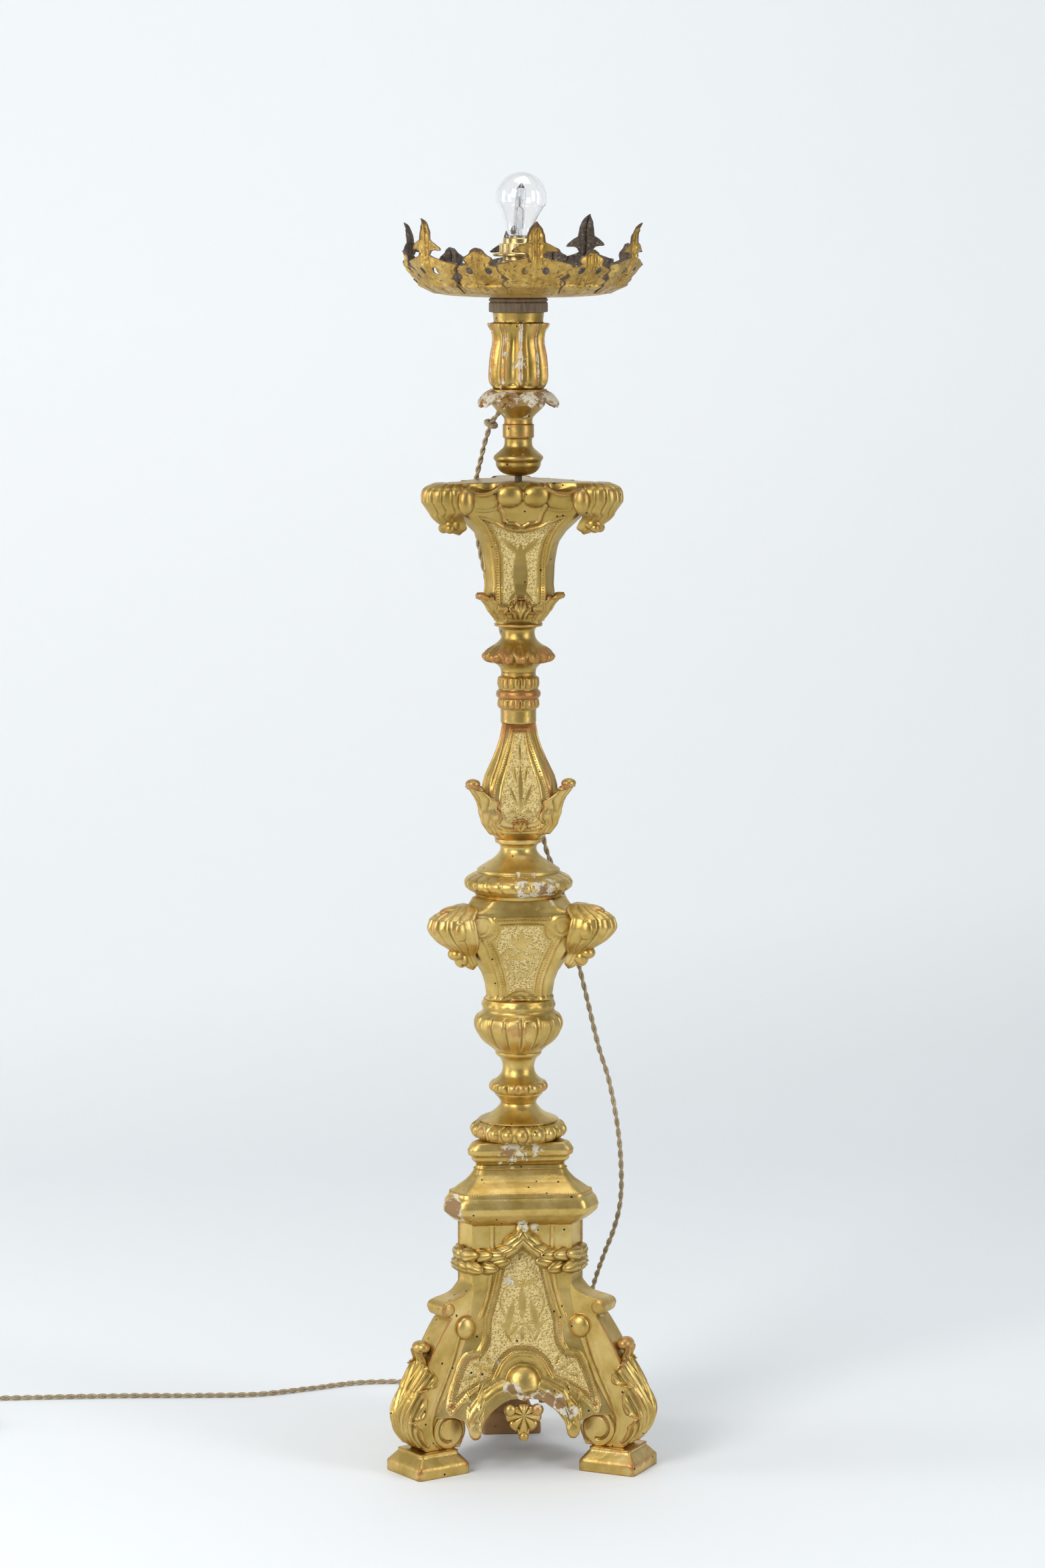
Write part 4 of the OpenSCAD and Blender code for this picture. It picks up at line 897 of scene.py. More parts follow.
def cap():
    def cut(s, z, a):
        return 0.9 * hill(z - 306, 1.6) - 0.6 * hill(z - 303, 1.2), 0, 0.25 * hill(z - 291, 5), 0
    rows = [turned((canted(*between(CAP, z), 1.5 * k) + 1.0, 0, z), 1.5 * k) for z in (307, 331)
            for k in range(240)]
    piece(join(three_sided(CAP, cut), beads(rows, 0.9)), "gilt_cap", ["ovolo_cap"])


def plinth():
    def cut(s, z, a):
        return 0.8 * hill(z - 341, 1.5) - 0.7 * hill(z - 344.4, 1.3), 0, 0.3 * hill(z - 350, 4), 0
    piece(three_sided(PLINTH, cut), "gilt_plinth", ["plinth"])


def ring_piece(name, nodes, outline, cut=None, gap=1.3, turns=280, more=()):
    def plain(r, a, z):
        return r, z, 0, 0, 0
    outline = [outline[0]] + fine(outline[1:-1], gap) + [outline[-1]]
    piece(join(carve_round(spun(outline, turns), cut or plain), *more), name, nodes)


def egg_torus():
    torus = [(41 + 11.5 * math.cos(math.radians(k)), 369.6 + 10.4 * math.sin(math.radians(k)))
             for k in range(-60, 61, 10)]
    outline = [(0, 360), (44, 360)] + torus + [(44, 380), (44, 381.6)] + smooth(
        [(41, 383.2), (33, 386.4), (26, 391.2), (21, 396.8), (19.5, 400)], 4) + [(0, 400)]

    def eggs(r, a, z):
        if z > 380.2 or r < 42:
            return r, z, 0, 0, 0
        k = (a % 20) - 10
        up = (z - 370) / 9.5
        egg = math.sqrt(max(0.0, 1 - (k / 6.6) ** 2 - up ** 2 * 0.9))
        groove = hill(math.sqrt((k / 8.2) ** 2 + up ** 2) - 1.0, 0.18)
        return r - 1.8 + 3.0 * egg - 1.2 * groove, z, 0, 0.4 * egg, 0
    ring_piece("gilt_egg_torus", ["egg_torus"], outline, eggs, 1.15, 342)


def spool():
    bead = [(28 + 3.8 * math.cos(math.radians(k)), 418.2 + 5.7 * math.sin(math.radians(k)))
            for k in range(-75, 76, 15)]
    outline = ([(0, 400)] + smooth([(19.5, 400), (22, 404.6), (26, 409), (27, 411.4)], 3) + bead
               + smooth([(26, 425), (21, 429.6), (18, 435.3), (17.5, 442.2), (20, 449), (25, 454),
               (25.5, 457)], 3) + [(0, 457)])

    def berries(r, a, z):
        if 412 < z < 424.4:
            k = abs((a * 15 / 360) % 1 - 0.5) * 2
            return r + 4.2 * (math.sqrt(1 - k * k) - 0.78) * hill(z - 418.2, 6.6), z, 0, 0.5, 0
        return r, z, 0, 0.1, 0
    ring_piece("gilt_spool", ["spool"], outline, berries, 1.0)


def gadrooned_cup():
    shape = [(25.5, 457), (31, 463), (38, 469), (43.5, 476), (47.5, 483.5), (48.3, 489.5), (46.5, 495.5),
             (43, 499.5), (40.5, 502), (39, 505), (40, 509), (39.5, 513), (38.5, 516)]
    outline = [(0, 457)] + smooth(shape, 5) + [(0, 516)]

    def lobes(r, a, z):
        share = step(z, 459, 468) * (1 - step(z, 497, 501.5))
        k = abs(math.sin(math.radians(a * 8)))
        lobe = math.sqrt(1 - (1 - k) ** 2)
        inner = hill((k - 1) * 3, 1.2) * hill(z - 486, 11) * 1.2
        lip = 1.0 * abs(math.sin(math.radians(a * 8))) * hill(z - 509, 5)
        return (r + share * (4.8 * lobe - 3.4) - inner * 0.8 + lip, z, 0,
                0.45 * share * lobe * hill(z - 488, 16), 0.25 * share * (1 - lobe))
    ring_piece("gilt_gadrooned_cup", ["gadrooned_cup"], outline, lobes, 1.1)


MID = [(516, 37, 9), (525.1, 38.5, 9), (536.5, 40.5, 9), (547.9, 45, 9), (560.5, 54, 9.5), (573, 63, 10),
       (586.7, 69, 10), (601.5, 73.5, 11), (611.8, 75, 12), (616.3, 71, 14), (622, 57, 18), (630, 49, 20)]
MID_FRAME = [(0, 518), (10, 520), (21, 518), (21.5, 533), (24, 545), (27.5, 556), (34.5, 576),
             (42.5, 590.5), (36, 592), (31.5, 598), (30, 610), (0, 611)]
MID_INNER = [(0, 530), (8, 528.5), (14, 525), (15, 535), (18, 550), (24, 568), (31.5, 585.5), (27, 587),
             (24, 592), (23, 602), (0, 603)]
MID_FLOWERS = [(0, 585, 13, 3.6, 0), (7, 584, 9, 2.6, 34), (13, 574, 6, 3.2, 75), (17, 568, 0, 5, 1.1),
               (8, 566, 9, 2.2, 115), (0, 568, 6, 4, 0), (0, 545, 0, 3.4, 1.2), (12, 552, 10, 1.8, 25),
               (0, 556, 5, 1.6, 0)]


def mid_vase():
    def cut(s, z, a):
        high, ground, bole, chip = framed(s, z, MID_FRAME, MID_INNER, MID_FLOWERS)
        scroll = math.hypot(abs(s) - 43, z - 602.5)
        if scroll < 15 and z < 614:
            high = (3.2 * (1 - step(scroll, 11.5, 13.8)) - 0.9 * hill(scroll - 7.5, 1.2) * (1 if z < 604
                    else 0))
            ground, bole = 0, 0.4 * hill(scroll - 12.5, 1.6)
        high += 2.2 * hill(z - 517 - 2 * math.cos(s / 4.2), 3)
        return high, ground, bole, chip
    piece(join(three_sided(MID, cut, 1.05, 354), beaded(MID, MID_FRAME, 3.1, 0.95, 1.4, -0.2),
          beaded(MID, MID_INNER, 3.1, 0.6, -2.2, 0)), "gilt_mid_vase", ["mid_vase"])


def ear(levels, body, ribs, depth, curl):
    """Ribbed scallop over a corner; levels hold height, lift, reach and half width."""
    low, high = levels[0][0], levels[-1][0]
    form = spun([(0, low), (0.6, low)] + fine([(1, low), (1, high)], 0.9) + [(0.6, high), (0, high)], 180)

    def cut(x, y, z):
        r, b = math.hypot(x, y), math.degrees(math.atan2(y, x))
        lift, reach, half = between(levels, z)
        seat = between(body, z)[0]
        front = math.cos(math.radians(b))
        k = abs(math.sin(math.radians(b) * ribs))
        rib = 1 - depth * (1 - math.sqrt(1 - (1 - k) ** 2)) * step(front, 0.02, 0.2)
        x = seat + lift + max(0.0, front) * (reach - lift) * rib * r
        y = half * math.sin(math.radians(b)) * rib * r
        return ((x, y, z + curl * hill(z - low, 10) * front * r),
                (0, 0.42 * step(k, 0.7, 1.0) * step(front, 0.3, 0.9), 0))
    carve(form, cut)
    bmesh.ops.recalc_face_normals(form, faces=form.faces)
    return form


def rounded(levels, steps=4):
    return smooth(levels, steps)


MID_EAR = rounded([(556.5, 7, 10, 3), (560, 5, 16, 7), (570, 3, 20, 10), (578, 0.3, 27, 18),
                  (587, 0.3, 37, 25), (600, 0.3, 44, 28), (611, 0.3, 40, 26), (616.5, 0.3, 38, 22),
                  (622, 8, 38, 17), (626, 14, 30, 9)])


def mid_ears():
    """Shell ears with a roll on top, a bulge at either side and a curl below."""
    form = ear(MID_EAR, [(z, c) for z, c, e in MID], 8.5, 0.15, -4)
    bits = [egg((84, 0, 619), (20, 9, 7)), egg((76, 0, 566), (8, 8, 9.5)), egg((84, 0, 572), (8, 9, 7))]
    bits += [egg((91, side * 22, 600), (9, 5, 11)) for side in (1, -1)]
    three(join(form, *bits), "mid_ear", CORNERS)


def gadroon_ring():
    outline = ([(0, 630), (47, 630), (48.5, 634), (54, 637)] + smooth([(58, 640.5), (59, 646), (56, 651),
               (49, 655)], 4) + [(45.5, 657), (45.5, 660)] + smooth([(38, 665), (26, 673), (20.5, 680),
               (20, 685), (22, 688)], 4) + [(25.5, 689.5), (26, 694), (0, 694)])

    def lobes(r, a, z):
        if 637.5 < z < 655 and r > 47:
            k = abs(math.sin(math.radians(a * 11 + 30 * (z - 645) / 10)))
            return r + 2.6 * (math.sqrt(1 - (1 - k) ** 2) - 0.75), z, 0, 0.35 * k, 0
        return r, z, 0, 0.05, 0
    ring_piece("gilt_gadroon_ring", ["gadroon_ring"], outline, lobes, 1.1)


PEAR = [(694, 25.4, 6), (701.6, 34.6, 8), (711.8, 41.6, 8.5), (724.5, 45, 9), (739.7, 45, 9),
        (755, 42.7, 8.5), (765.1, 39.8, 8), (771.5, 36.4, 7.5), (782.9, 30.6, 6.5), (794.3, 25.4, 5.5),
        (805.8, 21.4, 4.7), (821, 18.5, 4)]
PEAR_FRAME = (smooth([(0, 706), (12, 706.5), (23, 710), (29, 720), (31, 735), (29, 752), (22, 771),
              (15.5, 790), (10, 806), (8.6, 815)], 2) + [(0, 815)])
PEAR_INNER = (smooth([(0, 714), (10, 714), (18, 718), (21.5, 730), (21.5, 742), (19.5, 755), (14, 773),
              (8.5, 792), (5.5, 811)], 2) + [(0, 811)])
PEAR_FLOWERS = [(0, 752, 30, 3.0, 0), (8, 744, 14, 2.4, 22), (9, 724, 5.4, 5.2, 0), (0, 790, 14, 1.6, 0),
                (6, 766, 11, 1.8, 14)]


def pear():
    def cut(s, z, a):
        high, ground, bole, chip = framed(s, z, PEAR_FRAME, PEAR_INNER, PEAR_FLOWERS, 1.4, 0.9)
        rim = 1.2 * hill(abs(from_corner(a)) - 9, 3.6) * step(z, 735, 755)
        return (high + rim, ground, max(bole, 0.9 * step(z, 806, 816) * (1 - ground),
                0.55 * hill(abs(from_corner(a)) - 9, 9)), chip)
    piece(join(three_sided(PEAR, cut, 0.8), beaded(PEAR, PEAR_FRAME, 2.8, 0.85, 1.6, 0.1)), "gilt_pear",
          ["pear"])


def calyx_leaf(body, low, tall, wide, reach, thick, folds=3.0):
    """Leaf that hugs a corner and bends out at its tip."""
    form = sheet(36, 48)
    seat = [(z, c) for z, c, e in body]

    def cut(x, y, z):
        t = y
        lobes = 1 + 0.13 * math.cos(math.pi * 2 * folds * t) * (1 - step(t, 0.65, 0.85))
        half = wide * (0.62 + 0.68 * math.sin(math.pi * min(1.0, t * 0.88 + 0.08))) * lobes
        s = x * half
        high = low + tall * t - (3 * abs(x) + 0.12 * tall * x * x) * t * t
        out = between(seat, high)[0] + 1.2 + reach * step(t, 0.35, 1.0) ** 1.5 + 2.4 * math.sin(math.pi * t)
        out -= (0.6 + 0.9 * step(t, 0.4, 1.0)) * max(0.0, abs(s) - 4) + 2 * hill(abs(x) - 1, 0.3)
        out += (0.7 * thick * math.cos(math.pi * (4.5 * abs(x) - 2.5 * t)) * (1 - 0.3 * abs(x))
                + 1.5 * hill(x, 0.14))
        tip = step(t, 0.9, 1.0)
        return (out + 1.5 * tip, s, high - 3 * tip), (0, 0.3 * step(t, 0.85, 1), 0)
    carve(form, cut)
    return thicken(form, thick)


def pear_leaves():
    three(join(calyx_leaf(PEAR, 700, 64, 13, 22, 3.2), egg((60.5, 0, 757.5), (8, 8.5, 5.5), 0.3)),
          "pear_leaf", CORNERS)


def reeded_collars():
    torus = [(20.5 + 4 * math.cos(math.radians(k)), 853 + 5 * math.sin(math.radians(k)))
             for k in range(-75, 76, 15)]
    outline = ([(0, 821), (19, 821), (19.5, 822.5), (19.5, 836), (21.5, 838.5), (22.5, 841), (22, 846.5)]
               + torus + [(21.5, 859.5), (22.5, 864), (22, 870.5), (19, 873.5), (19, 877), (0, 877)])

    def reeds(r, a, z):
        if (837.5 < z < 847 or 859.5 < z < 872) and r > 18:
            k = abs(math.sin(math.radians(a * 10)))
            return r + 2.5 * (math.sqrt(1 - (1 - k) ** 2) - 0.75), z, 0, 0.45, 0
        return r, z, 0, 0.75 * hill(z - 853, 7) + 0.3, 0
    ring_piece("gilt_reeded_collars", ["reeded_collars"], outline, reeds, 1.0)


def leaf_ring():
    outline = ([(0, 877)] + smooth([(19, 877), (20.5, 882), (27.5, 888), (35, 891)], 4)
               + smooth([(36.5, 892), (38.5, 895), (38, 898), (35, 901), (27.5, 906), (20.5, 912),
               (18, 918), (18.3, 923.5), (21, 926.5)], 4) + [(26, 927.5), (26.5, 930), (0, 930)])

    def leaves(r, a, z):
        share = step(r, 24, 33) * (1 if z < 908 else 0)
        k = abs(math.sin(math.radians(a * 7)))
        fold = 0.8 * math.cos(math.radians(a * 42))
        return (r + share * (5.2 * (math.sqrt(1 - (1 - k) ** 2) - 0.8) + fold * 0.9), z - share * 2.2 * k
                + share * 2.2 * (1 - k) ** 2, 0, 0.6 * share + 0.15, 0)
    ring_piece("gilt_leaf_ring", ["leaf_ring"], outline, leaves, 1.1, 306)


VASE = [(930, 26, 6), (936.2, 27, 7), (945.6, 34, 9), (956.5, 38.5, 10), (965.9, 38.5, 10),
        (973.7, 37.5, 9.5), (995.5, 39, 9.5), (1008, 42, 9.5), (1020.5, 46, 9.5), (1031.4, 54, 10),
        (1037.6, 61, 10.5), (1045.4, 70, 11), (1054.8, 80, 11.5), (1065.7, 87, 12), (1081.3, 89, 12),
        (1086, 87, 12)]
VASE_FRAME = [(0, 944), (25, 944), (25, 972), (25.5, 1000), (27.5, 1016), (32, 1029), (38, 1040),
              (46, 1048), (38, 1046), (29, 1042), (20, 1037), (10, 1034), (0, 1033)]
VASE_INNER = [(0, 952), (19, 952), (19, 980), (20, 1004), (24, 1021), (30, 1034), (38, 1044), (27, 1040),
              (14, 1033), (0, 1030)]
VASE_FLOWERS = [(0, 984, 36, 8.5, 0), (10, 1015, 15, 3.2, 48), (0, 1004, 12, 6, 0), (9, 962, 9, 2.4, -40)]


def upper_vase():
    def cut(s, z, a):
        high, ground, bole, chip = framed(s, z, VASE_FRAME, VASE_INNER, VASE_FLOWERS, 2.0, 1.2)
        if z > 1030 and abs(from_side(a)) < 46:
            side = abs(s)
            if 21 < side < 64:
                # draped roll of the top plate, hollow below it
                rim = 1083 - 9 * hill(side - 42, 20)
                high += 2.8 * hill(z - rim, 3.4) - 12 * step(z, rim + 1, rim + 5) * hill(side - 42, 21)
                low = 1053 + 5 * ((side - 42) / 20) ** 2
                if z > low:
                    high += 3.4 * step(z, low, low + 3) - 3.2 * hill(z - rim + 12, 10)
                    ground = 0
                bole += 0.3 * hill(z - rim, 3)
            shell = math.hypot(s / 24, (z - 1057) / 19)
            lobe = 0.07 * math.cos(7 * math.atan2(s, 1057 - z))
            if z < 1066 and shell < 1.3:
                high = max(high, 0.6) if shell < 1 + lobe else high
                high += 2.3 * hill(shell - 0.96 - lobe, 0.11) - 0.8 * hill(shell - 1.16 - lobe, 0.1)
                ground *= step(shell, 1.05, 1.2)
                bole = max(bole, 0.35 * hill(shell - 0.96 - lobe, 0.1))
            plump = math.hypot((side - 13.6) / 14.5, (z - 1072.5) / 13)
            high = max(high, 9 * math.sqrt(hill(plump, 1.0)) + 0.6) if plump < 1 else high
        return high, ground, bole, chip
    piece(join(three_sided(VASE, cut, 1.05, 354), beaded(VASE, VASE_FRAME[1:], 2.9, 1.0, 0.8, 0.8),
          beaded(VASE, VASE_INNER[1:], 2.6, 0.6, -0.9, 0.2)), "gilt_upper_vase", ["upper_vase"])


UPPER_EAR = rounded([(1032, 22, 24, 4), (1036, 14, 32, 8), (1043, 10, 38, 11), (1050, 9, 38, 17),
                    (1055, 3, 35, 24), (1066, 0.3, 36, 27), (1076, 0.3, 34, 28), (1082, 0.3, 29, 25),
                    (1086, 0.3, 20, 20)])


def upper_ears():
    """Shell ears with a hanging curl below and a fold at either side."""
    form = ear(UPPER_EAR, [(z, c) for z, c, e in VASE], 8.5, 0.11, -3)
    bits = [egg((90, 0, 1041.5), (11, 11.5, 9.5)), egg((98, 0, 1050), (9, 10, 7))]
    bits += [egg((88, side * 28.5, 1067), (10, 8, 14.5)) for side in (1, -1)]
    bits += [egg((94, side * 6, 1037), (6, 5.5, 5.5)) for side in (1, -1)]
    three(join(form, *bits), "upper_ear", CORNERS)


def vase_calyx():
    """Six leaves that hold the upper vase's foot: three at its corners, three at its sides."""
    forms = [turn_to(join(calyx_leaf(VASE, 934, 33, 12.5, 10, 2.4, 2.0), egg((49, 0, 962.5), (6.5, 7, 3.8),
             0.35)), a) for a in CORNERS.values()]
    low = [(930, 21, 6), (936.2, 22, 7), (945.6, 27, 9), (956.5, 29.5, 10), (975, 30, 10)]
    forms += [turn_to(calyx_leaf(low, 936, 25, 12, 3, 2.2, 2.0), a) for a in SIDES.values()]
    piece(join(*forms), "gilt_vase_calyx", [])


def mid_calyx():
    low = [(700, 18, 6), (710, 27, 7), (724, 31, 9), (740, 31, 10)]
    forms = [turn_to(calyx_leaf(low, 699, 20, 13, 2, 2.2, 2.0), a) for a in SIDES.values()]
    piece(join(*forms), "gilt_pear_calyx", [])


# ---- candle section ----

def knop():
    outline = ([(0, 1091)] + smooth([(6, 1091), (14, 1092.7), (20, 1096), (24, 1101.6), (24.5, 1106)], 4)
               + smooth([(26.7, 1109), (26.7, 1112.3), (22, 1116.8), (16.5, 1121.8), (15, 1126.3),
               (15, 1131.3)], 4) + [(17, 1133), (17, 1147), (0, 1147)])

    def worn(r, a, z):
        return r, z, 0, 0.6 if 1132.8 < z < 1147.5 else 0.15, 0.22
    ring_piece("gilt_knop", ["knop"], outline, worn)


def petal_flange():
    bell = ([(0, 1147)] + smooth([(15.5, 1147), (15.5, 1153), (19, 1157.6), (24, 1162.2), (26, 1164.5)], 4)
            + [(29, 1168), (31, 1180), (31, 1185), (0, 1185)])
    forms = [carve_round(spun(fine(bell, 1.2), 180), lambda r, a, z: (r, z, 0, 0.45, 0.1))]
    for k in range(8):
        form = sheet(20, 20)

        def cut(x, y, z):
            half = 14.5 * math.sqrt(max(0.06, 1 - (max(0.0, y - 0.35) / 0.66) ** 2))
            r = 25 + 17 * y - 2.5 * x * x
            high = 1180 - 3 * y - 8 * y ** 3 - 2.6 * x * x + 1.2 * hill(x, 0.2)
            return (r, x * half, high), (0, 0.25, 0.85)
        carve(form, cut)
        thicken(form, 4.4)
        forms.append(turn_to(form, 22.5 + 45 * k))
    piece(join(*forms), "gilt_petal_flange", ["petal_flange"])


def candle_cup():
    outline = ([(0, 1185)] + smooth([(27, 1185), (30.5, 1190), (32.2, 1197), (31.8, 1208), (30.8, 1220),
               (29, 1230), (28, 1238), (29, 1246), (32, 1253), (32.5, 1256)], 4) + [(27, 1256.5),
               (27, 1260), (28, 1268), (0, 1268)])

    def flutes(r, a, z):
        if r < 26 or z > 1257:
            return r, z, 0, 0.1, 0.3 * step(z, 1257, 1262)
        k = abs((a * 10 / 360) % 1 - 0.5) * 2          # 0 at the ridge's middle, 1 mid flute
        share = step(z, 1186, 1192)
        flute = -4.4 * hill(k - 1, 0.76)
        ridge = 0.9 * hill(k - 0.14, 0.13)
        lip = 1.6 * step(z, 1246, 1256) * (1 - hill(k - 1, 0.9))
        return (r + share * (flute + ridge) + lip, z, 0, 0.7 * hill(k - 0.3, 0.3) * share,
                0.85 * hill(k, 0.34) * share)
    ring_piece("gilt_candle_cup", ["candle_cup"], outline, flutes, 1.1)


# ---- crown ----

RIM_R, Z_RIM = 112.0, 1297.0
CROWN = [(-8, 96.4)] + smooth([(0, 112), (10, 120), (20, 128), (30, 131), (48, 132), (90, 136)], 4)
TALL = [(1, 1), (60, 0.98), (143, 1.12), (180, 0.95), (245, 0.98), (302, 1.05)]
LOW = [(333, 1), (30, 0.95), (113, 1.1), (160, 0.98), (213, 0.98), (275, 0.9)]
TALL_HALF = [(0, 31), (0.05, 34), (0.09, 33), (0.12, 28.5), (0.15, 32), (0.18, 38), (0.24, 42.5),
             (0.3, 42.5), (0.345, 38), (0.385, 30), (0.42, 19), (0.45, 11), (0.475, 9.3), (0.52, 11.5),
             (0.56, 18), (0.6, 26), (0.63, 24), (0.655, 17), (0.68, 10.5), (0.72, 10), (0.8, 9.4),
             (0.88, 7), (0.95, 3.6), (1, 0.8)]
LOW_HALF = [(0, 27), (0.1, 31), (0.18, 31), (0.24, 25), (0.3, 24.5), (0.38, 29), (0.46, 30), (0.52, 25),
            (0.57, 16), (0.62, 14.5), (0.7, 17.5), (0.77, 16.5), (0.83, 11.5), (0.87, 9), (0.92, 8),
            (0.97, 5), (1, 1)]


def crown_leaf(a, tall, half, gap, seed):
    """Cut sheet-metal leaf with two holes, veins and dents, bent to the crown's curve.

    Its foot laps over the pan.
    """
    form = sheet(60, int(tall))
    for v in form.verts:
        high = v.co.y / MM * (tall + 8) - 8
        wide = between(half, high / tall)[0] * (1 + 0.018 * min(0.0, high))
        v.co = Vector((v.co.x * wide, high * MM, 0))
    gone = [face for face in form.faces if math.hypot(abs(face.calc_center_median().x / MM) - 11,
            face.calc_center_median().y / MM - 17) < 3.75]
    bmesh.ops.delete(form, geom=gone, context="FACES")
    for v in form.verts:
        # round the holes
        x, y = abs(v.co.x / MM) - 11, v.co.y / MM - 17
        far = math.hypot(x, y)
        if v.is_boundary and 0.1 < far < 6:
            v.co.x = math.copysign((11 + x * 3.75 / far) * MM, v.co.x)
            v.co.y = (17 + y * 3.75 / far) * MM

    def cut(x, y, z):
        t = y / tall
        wide = between(half, t)[0]
        edge = max(1 - step(wide - abs(x), 0.4, 5), step(t, 0.82, 0.98))
        r = between(CROWN, y)[0] + (gap if y > 1.5 else max(gap, 0.7))
        dent = (1.6 * noise.noise(Vector((x / 18, y / 18, seed * 3.1)))
                + 0.8 * noise.noise(Vector((x / 7, y / 7, seed * 5.7))))
        rib = 1.5 * hill(x, 1.7) - 1.4 * hill(abs(x) - 4, 3) + 1.1 * hill(y - 3 - 0.36 * abs(x), 1.6)
        rib += 1.1 * hill(y - 0.4 * tall - 0.5 * abs(x), 1.6) + 1.1 * hill(y + 9 - 0.5 * abs(x), 1.6)
        tip = 7 * noise.noise(Vector((seed * 1.7, 2.2, 0))) * step(t, 0.7, 1.0) + 3 * step(t, 0.8, 1)
        curl = 3 * noise.noise(Vector((x / 9, y / 12, seed + 9))) * step(abs(x), 16, 34)
        r += (dent + rib) * step(y, -8, 3) + tip + curl
        # hooked side lobes and ragged edges
        up = (-4 * step(abs(x), 11, 26) * hill(t - 0.6, 0.1) + 4 * step(abs(x), 27, 43) * hill(t - 0.24,
              0.14) if tall > 50 else 0)
        x *= 1 + 0.09 * noise.noise(Vector((y / 5, seed * 2.7, math.copysign(3, x)))) * step(abs(x), 6, 20)
        b = math.radians(a - 90) + x / max(112, between(CROWN, y)[0])
        lean = x * 0.05 * math.sin(seed * 2.3) * t + up
        return (5 + r * math.cos(b), r * math.sin(b), Z_RIM + y - 0.6 + lean), (0, edge, 0)
    carve(form, cut)
    return form


def crown(name, node, places, half, tall, gap):
    forms = [crown_leaf(a, tall * share, half, gap, i + 7 * (gap < 0)) for i,
             (a, share) in enumerate(places)]
    thing = piece(join(*forms), name, [node], (CROWN_GOLD, CROWN_INSIDE))
    wall = thing.modifiers.new("wall", "SOLIDIFY")
    wall.thickness = 0.0009
    wall.offset = -1
    wall.material_offset = 1
    wall.material_offset_rim = 1


# ---- lampholder and bulb ----

def dress(node, finish):
    """The CAD node stays and takes the finish."""
    thing = bpy.data.objects[node]
    thing.data.materials.clear()
    thing.data.materials.append(finish)


def wire(points, thick, sides=8):
    """Round wire through points, in mm, as a form."""
    line = bpy.data.curves.new("wire", "CURVE")
    line.dimensions = "3D"
    line.bevel_depth = thick * MM
    line.bevel_resolution = max(0, sides // 4 - 1)
    line.use_fill_caps = True
    path = line.splines.new("POLY")
    path.points.add(len(points) - 1)
    for p, q in zip(path.points, points):
        p.co = (*(c * MM for c in q), 1)
    thing = bpy.data.objects.new("wire", line)
    scene.collection.objects.link(thing)
    mesh = bpy.data.meshes.new_from_object(thing.evaluated_get(bpy.context.evaluated_depsgraph_get()))
    form = bmesh.new()
    form.from_mesh(mesh)
    bpy.data.objects.remove(thing)
    bpy.data.curves.remove(line)
    bpy.data.meshes.remove(mesh)
    return form


def bulb():
    """Clear glass over a halogen capsule on its wires."""
    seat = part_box("bulb_cap")[0].z / MM + 24.8
    outer = ([(11.3, 0), (11.3, 4.5)] + smooth([(13.8, 8), (15.5, 16), (20, 26), (25.6, 37)], 6)[:-1]
             + [(27.5 * math.cos(math.radians(a)), 44.5 + 27.5 * math.sin(math.radians(a)))
             for a in range(-15, 90, 5)] + [(0, 72)])
    form = thicken(spun(outer, 120), 0.6)

    def lean(x, y, z):
        return (x * 0.9976 + z * 0.0698, y, seat + z * 0.9976 - x * 0.0698), (0, 0, 0)
    piece(carve(form, lean), "clear_bulb", ["bulb_glass"], (GLASS,), "bulb")
    low, high = (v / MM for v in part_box("bulb_capsule"))
    x, y = (low.x + high.x) / 2, 0
    wires = [wire([(x - 1 + k * 2.4, y, low.z + 2), (x - 0.5 + k * 3.4, y, low.z + 14),
             (x + k * 3.6, y, low.z + 30), (x + k * 1.2, y, low.z + 36)], 0.5) for k in (-1, 1)]
    coil = [(x + 0.9 * math.cos(k), y + 0.9 * math.sin(k), low.z + 36 + k * 0.17) for k in range(60)]
    piece(join(*wires, wire(coil, 0.3)), "capsule_wires", [], (STEEL,), "bulb")


# ---- cord ----

ROUTE = [(-12.3, 14.6, 1166.4), (-15.5, 18.4, 1163), (-18.6, 22.2, 1159.6), (-22.7, 27.1, 1154),
         (-27.3, 32.5, 1146), (-32.8, 38, 1128), (-37.6, 40.4, 1108), (-42.3, 44.9, 1086),
         (-43.8, 50, 1060), (-40.4, 54.7, 1020), (-29.3, 55.8, 970), (-13.2, 55.4, 915), (2.7, 54, 860),
         (18.5, 50.6, 815), (29.1, 45.6, 775), (31.6, 39.4, 730), (30.1, 34.5, 695), (36.5, 39, 668),
         (47.2, 46.1, 646), (56.4, 48.3, 615), (64.5, 48.6, 580), (71.5, 49, 545), (80.7, 50.2, 507),
         (94.1, 54, 452), (106.4, 56.9, 412), (115.8, 61.1, 365), (121.3, 66.7, 318), (122.1, 75.6, 272),
         (116.1, 88.2, 236), (107.4, 103, 206), (99.2, 123.8, 172), (92.3, 148.5, 134), (85.6, 175.2, 92),
         (77.7, 200, 52), (65.9, 225.1, 22), (46.2, 252.9, 6), (14.8, 283.8, 3.1), (-32.9, 312.1, 3.1),
         (-91.9, 326.3, 3.1), (-156.9, 328.9, 3.1), (-219.2, 305.3, 3.1), (-281.4, 283.6, 3.1),
         (-356.6, 284.2, 3.1), (-431.4, 289.7, 3.1), (-506.5, 291.3, 3.1), (-576.8, 291.4, 3.1),
         (-625, 295.8, 3.1), (-650, 296, 3.1)]


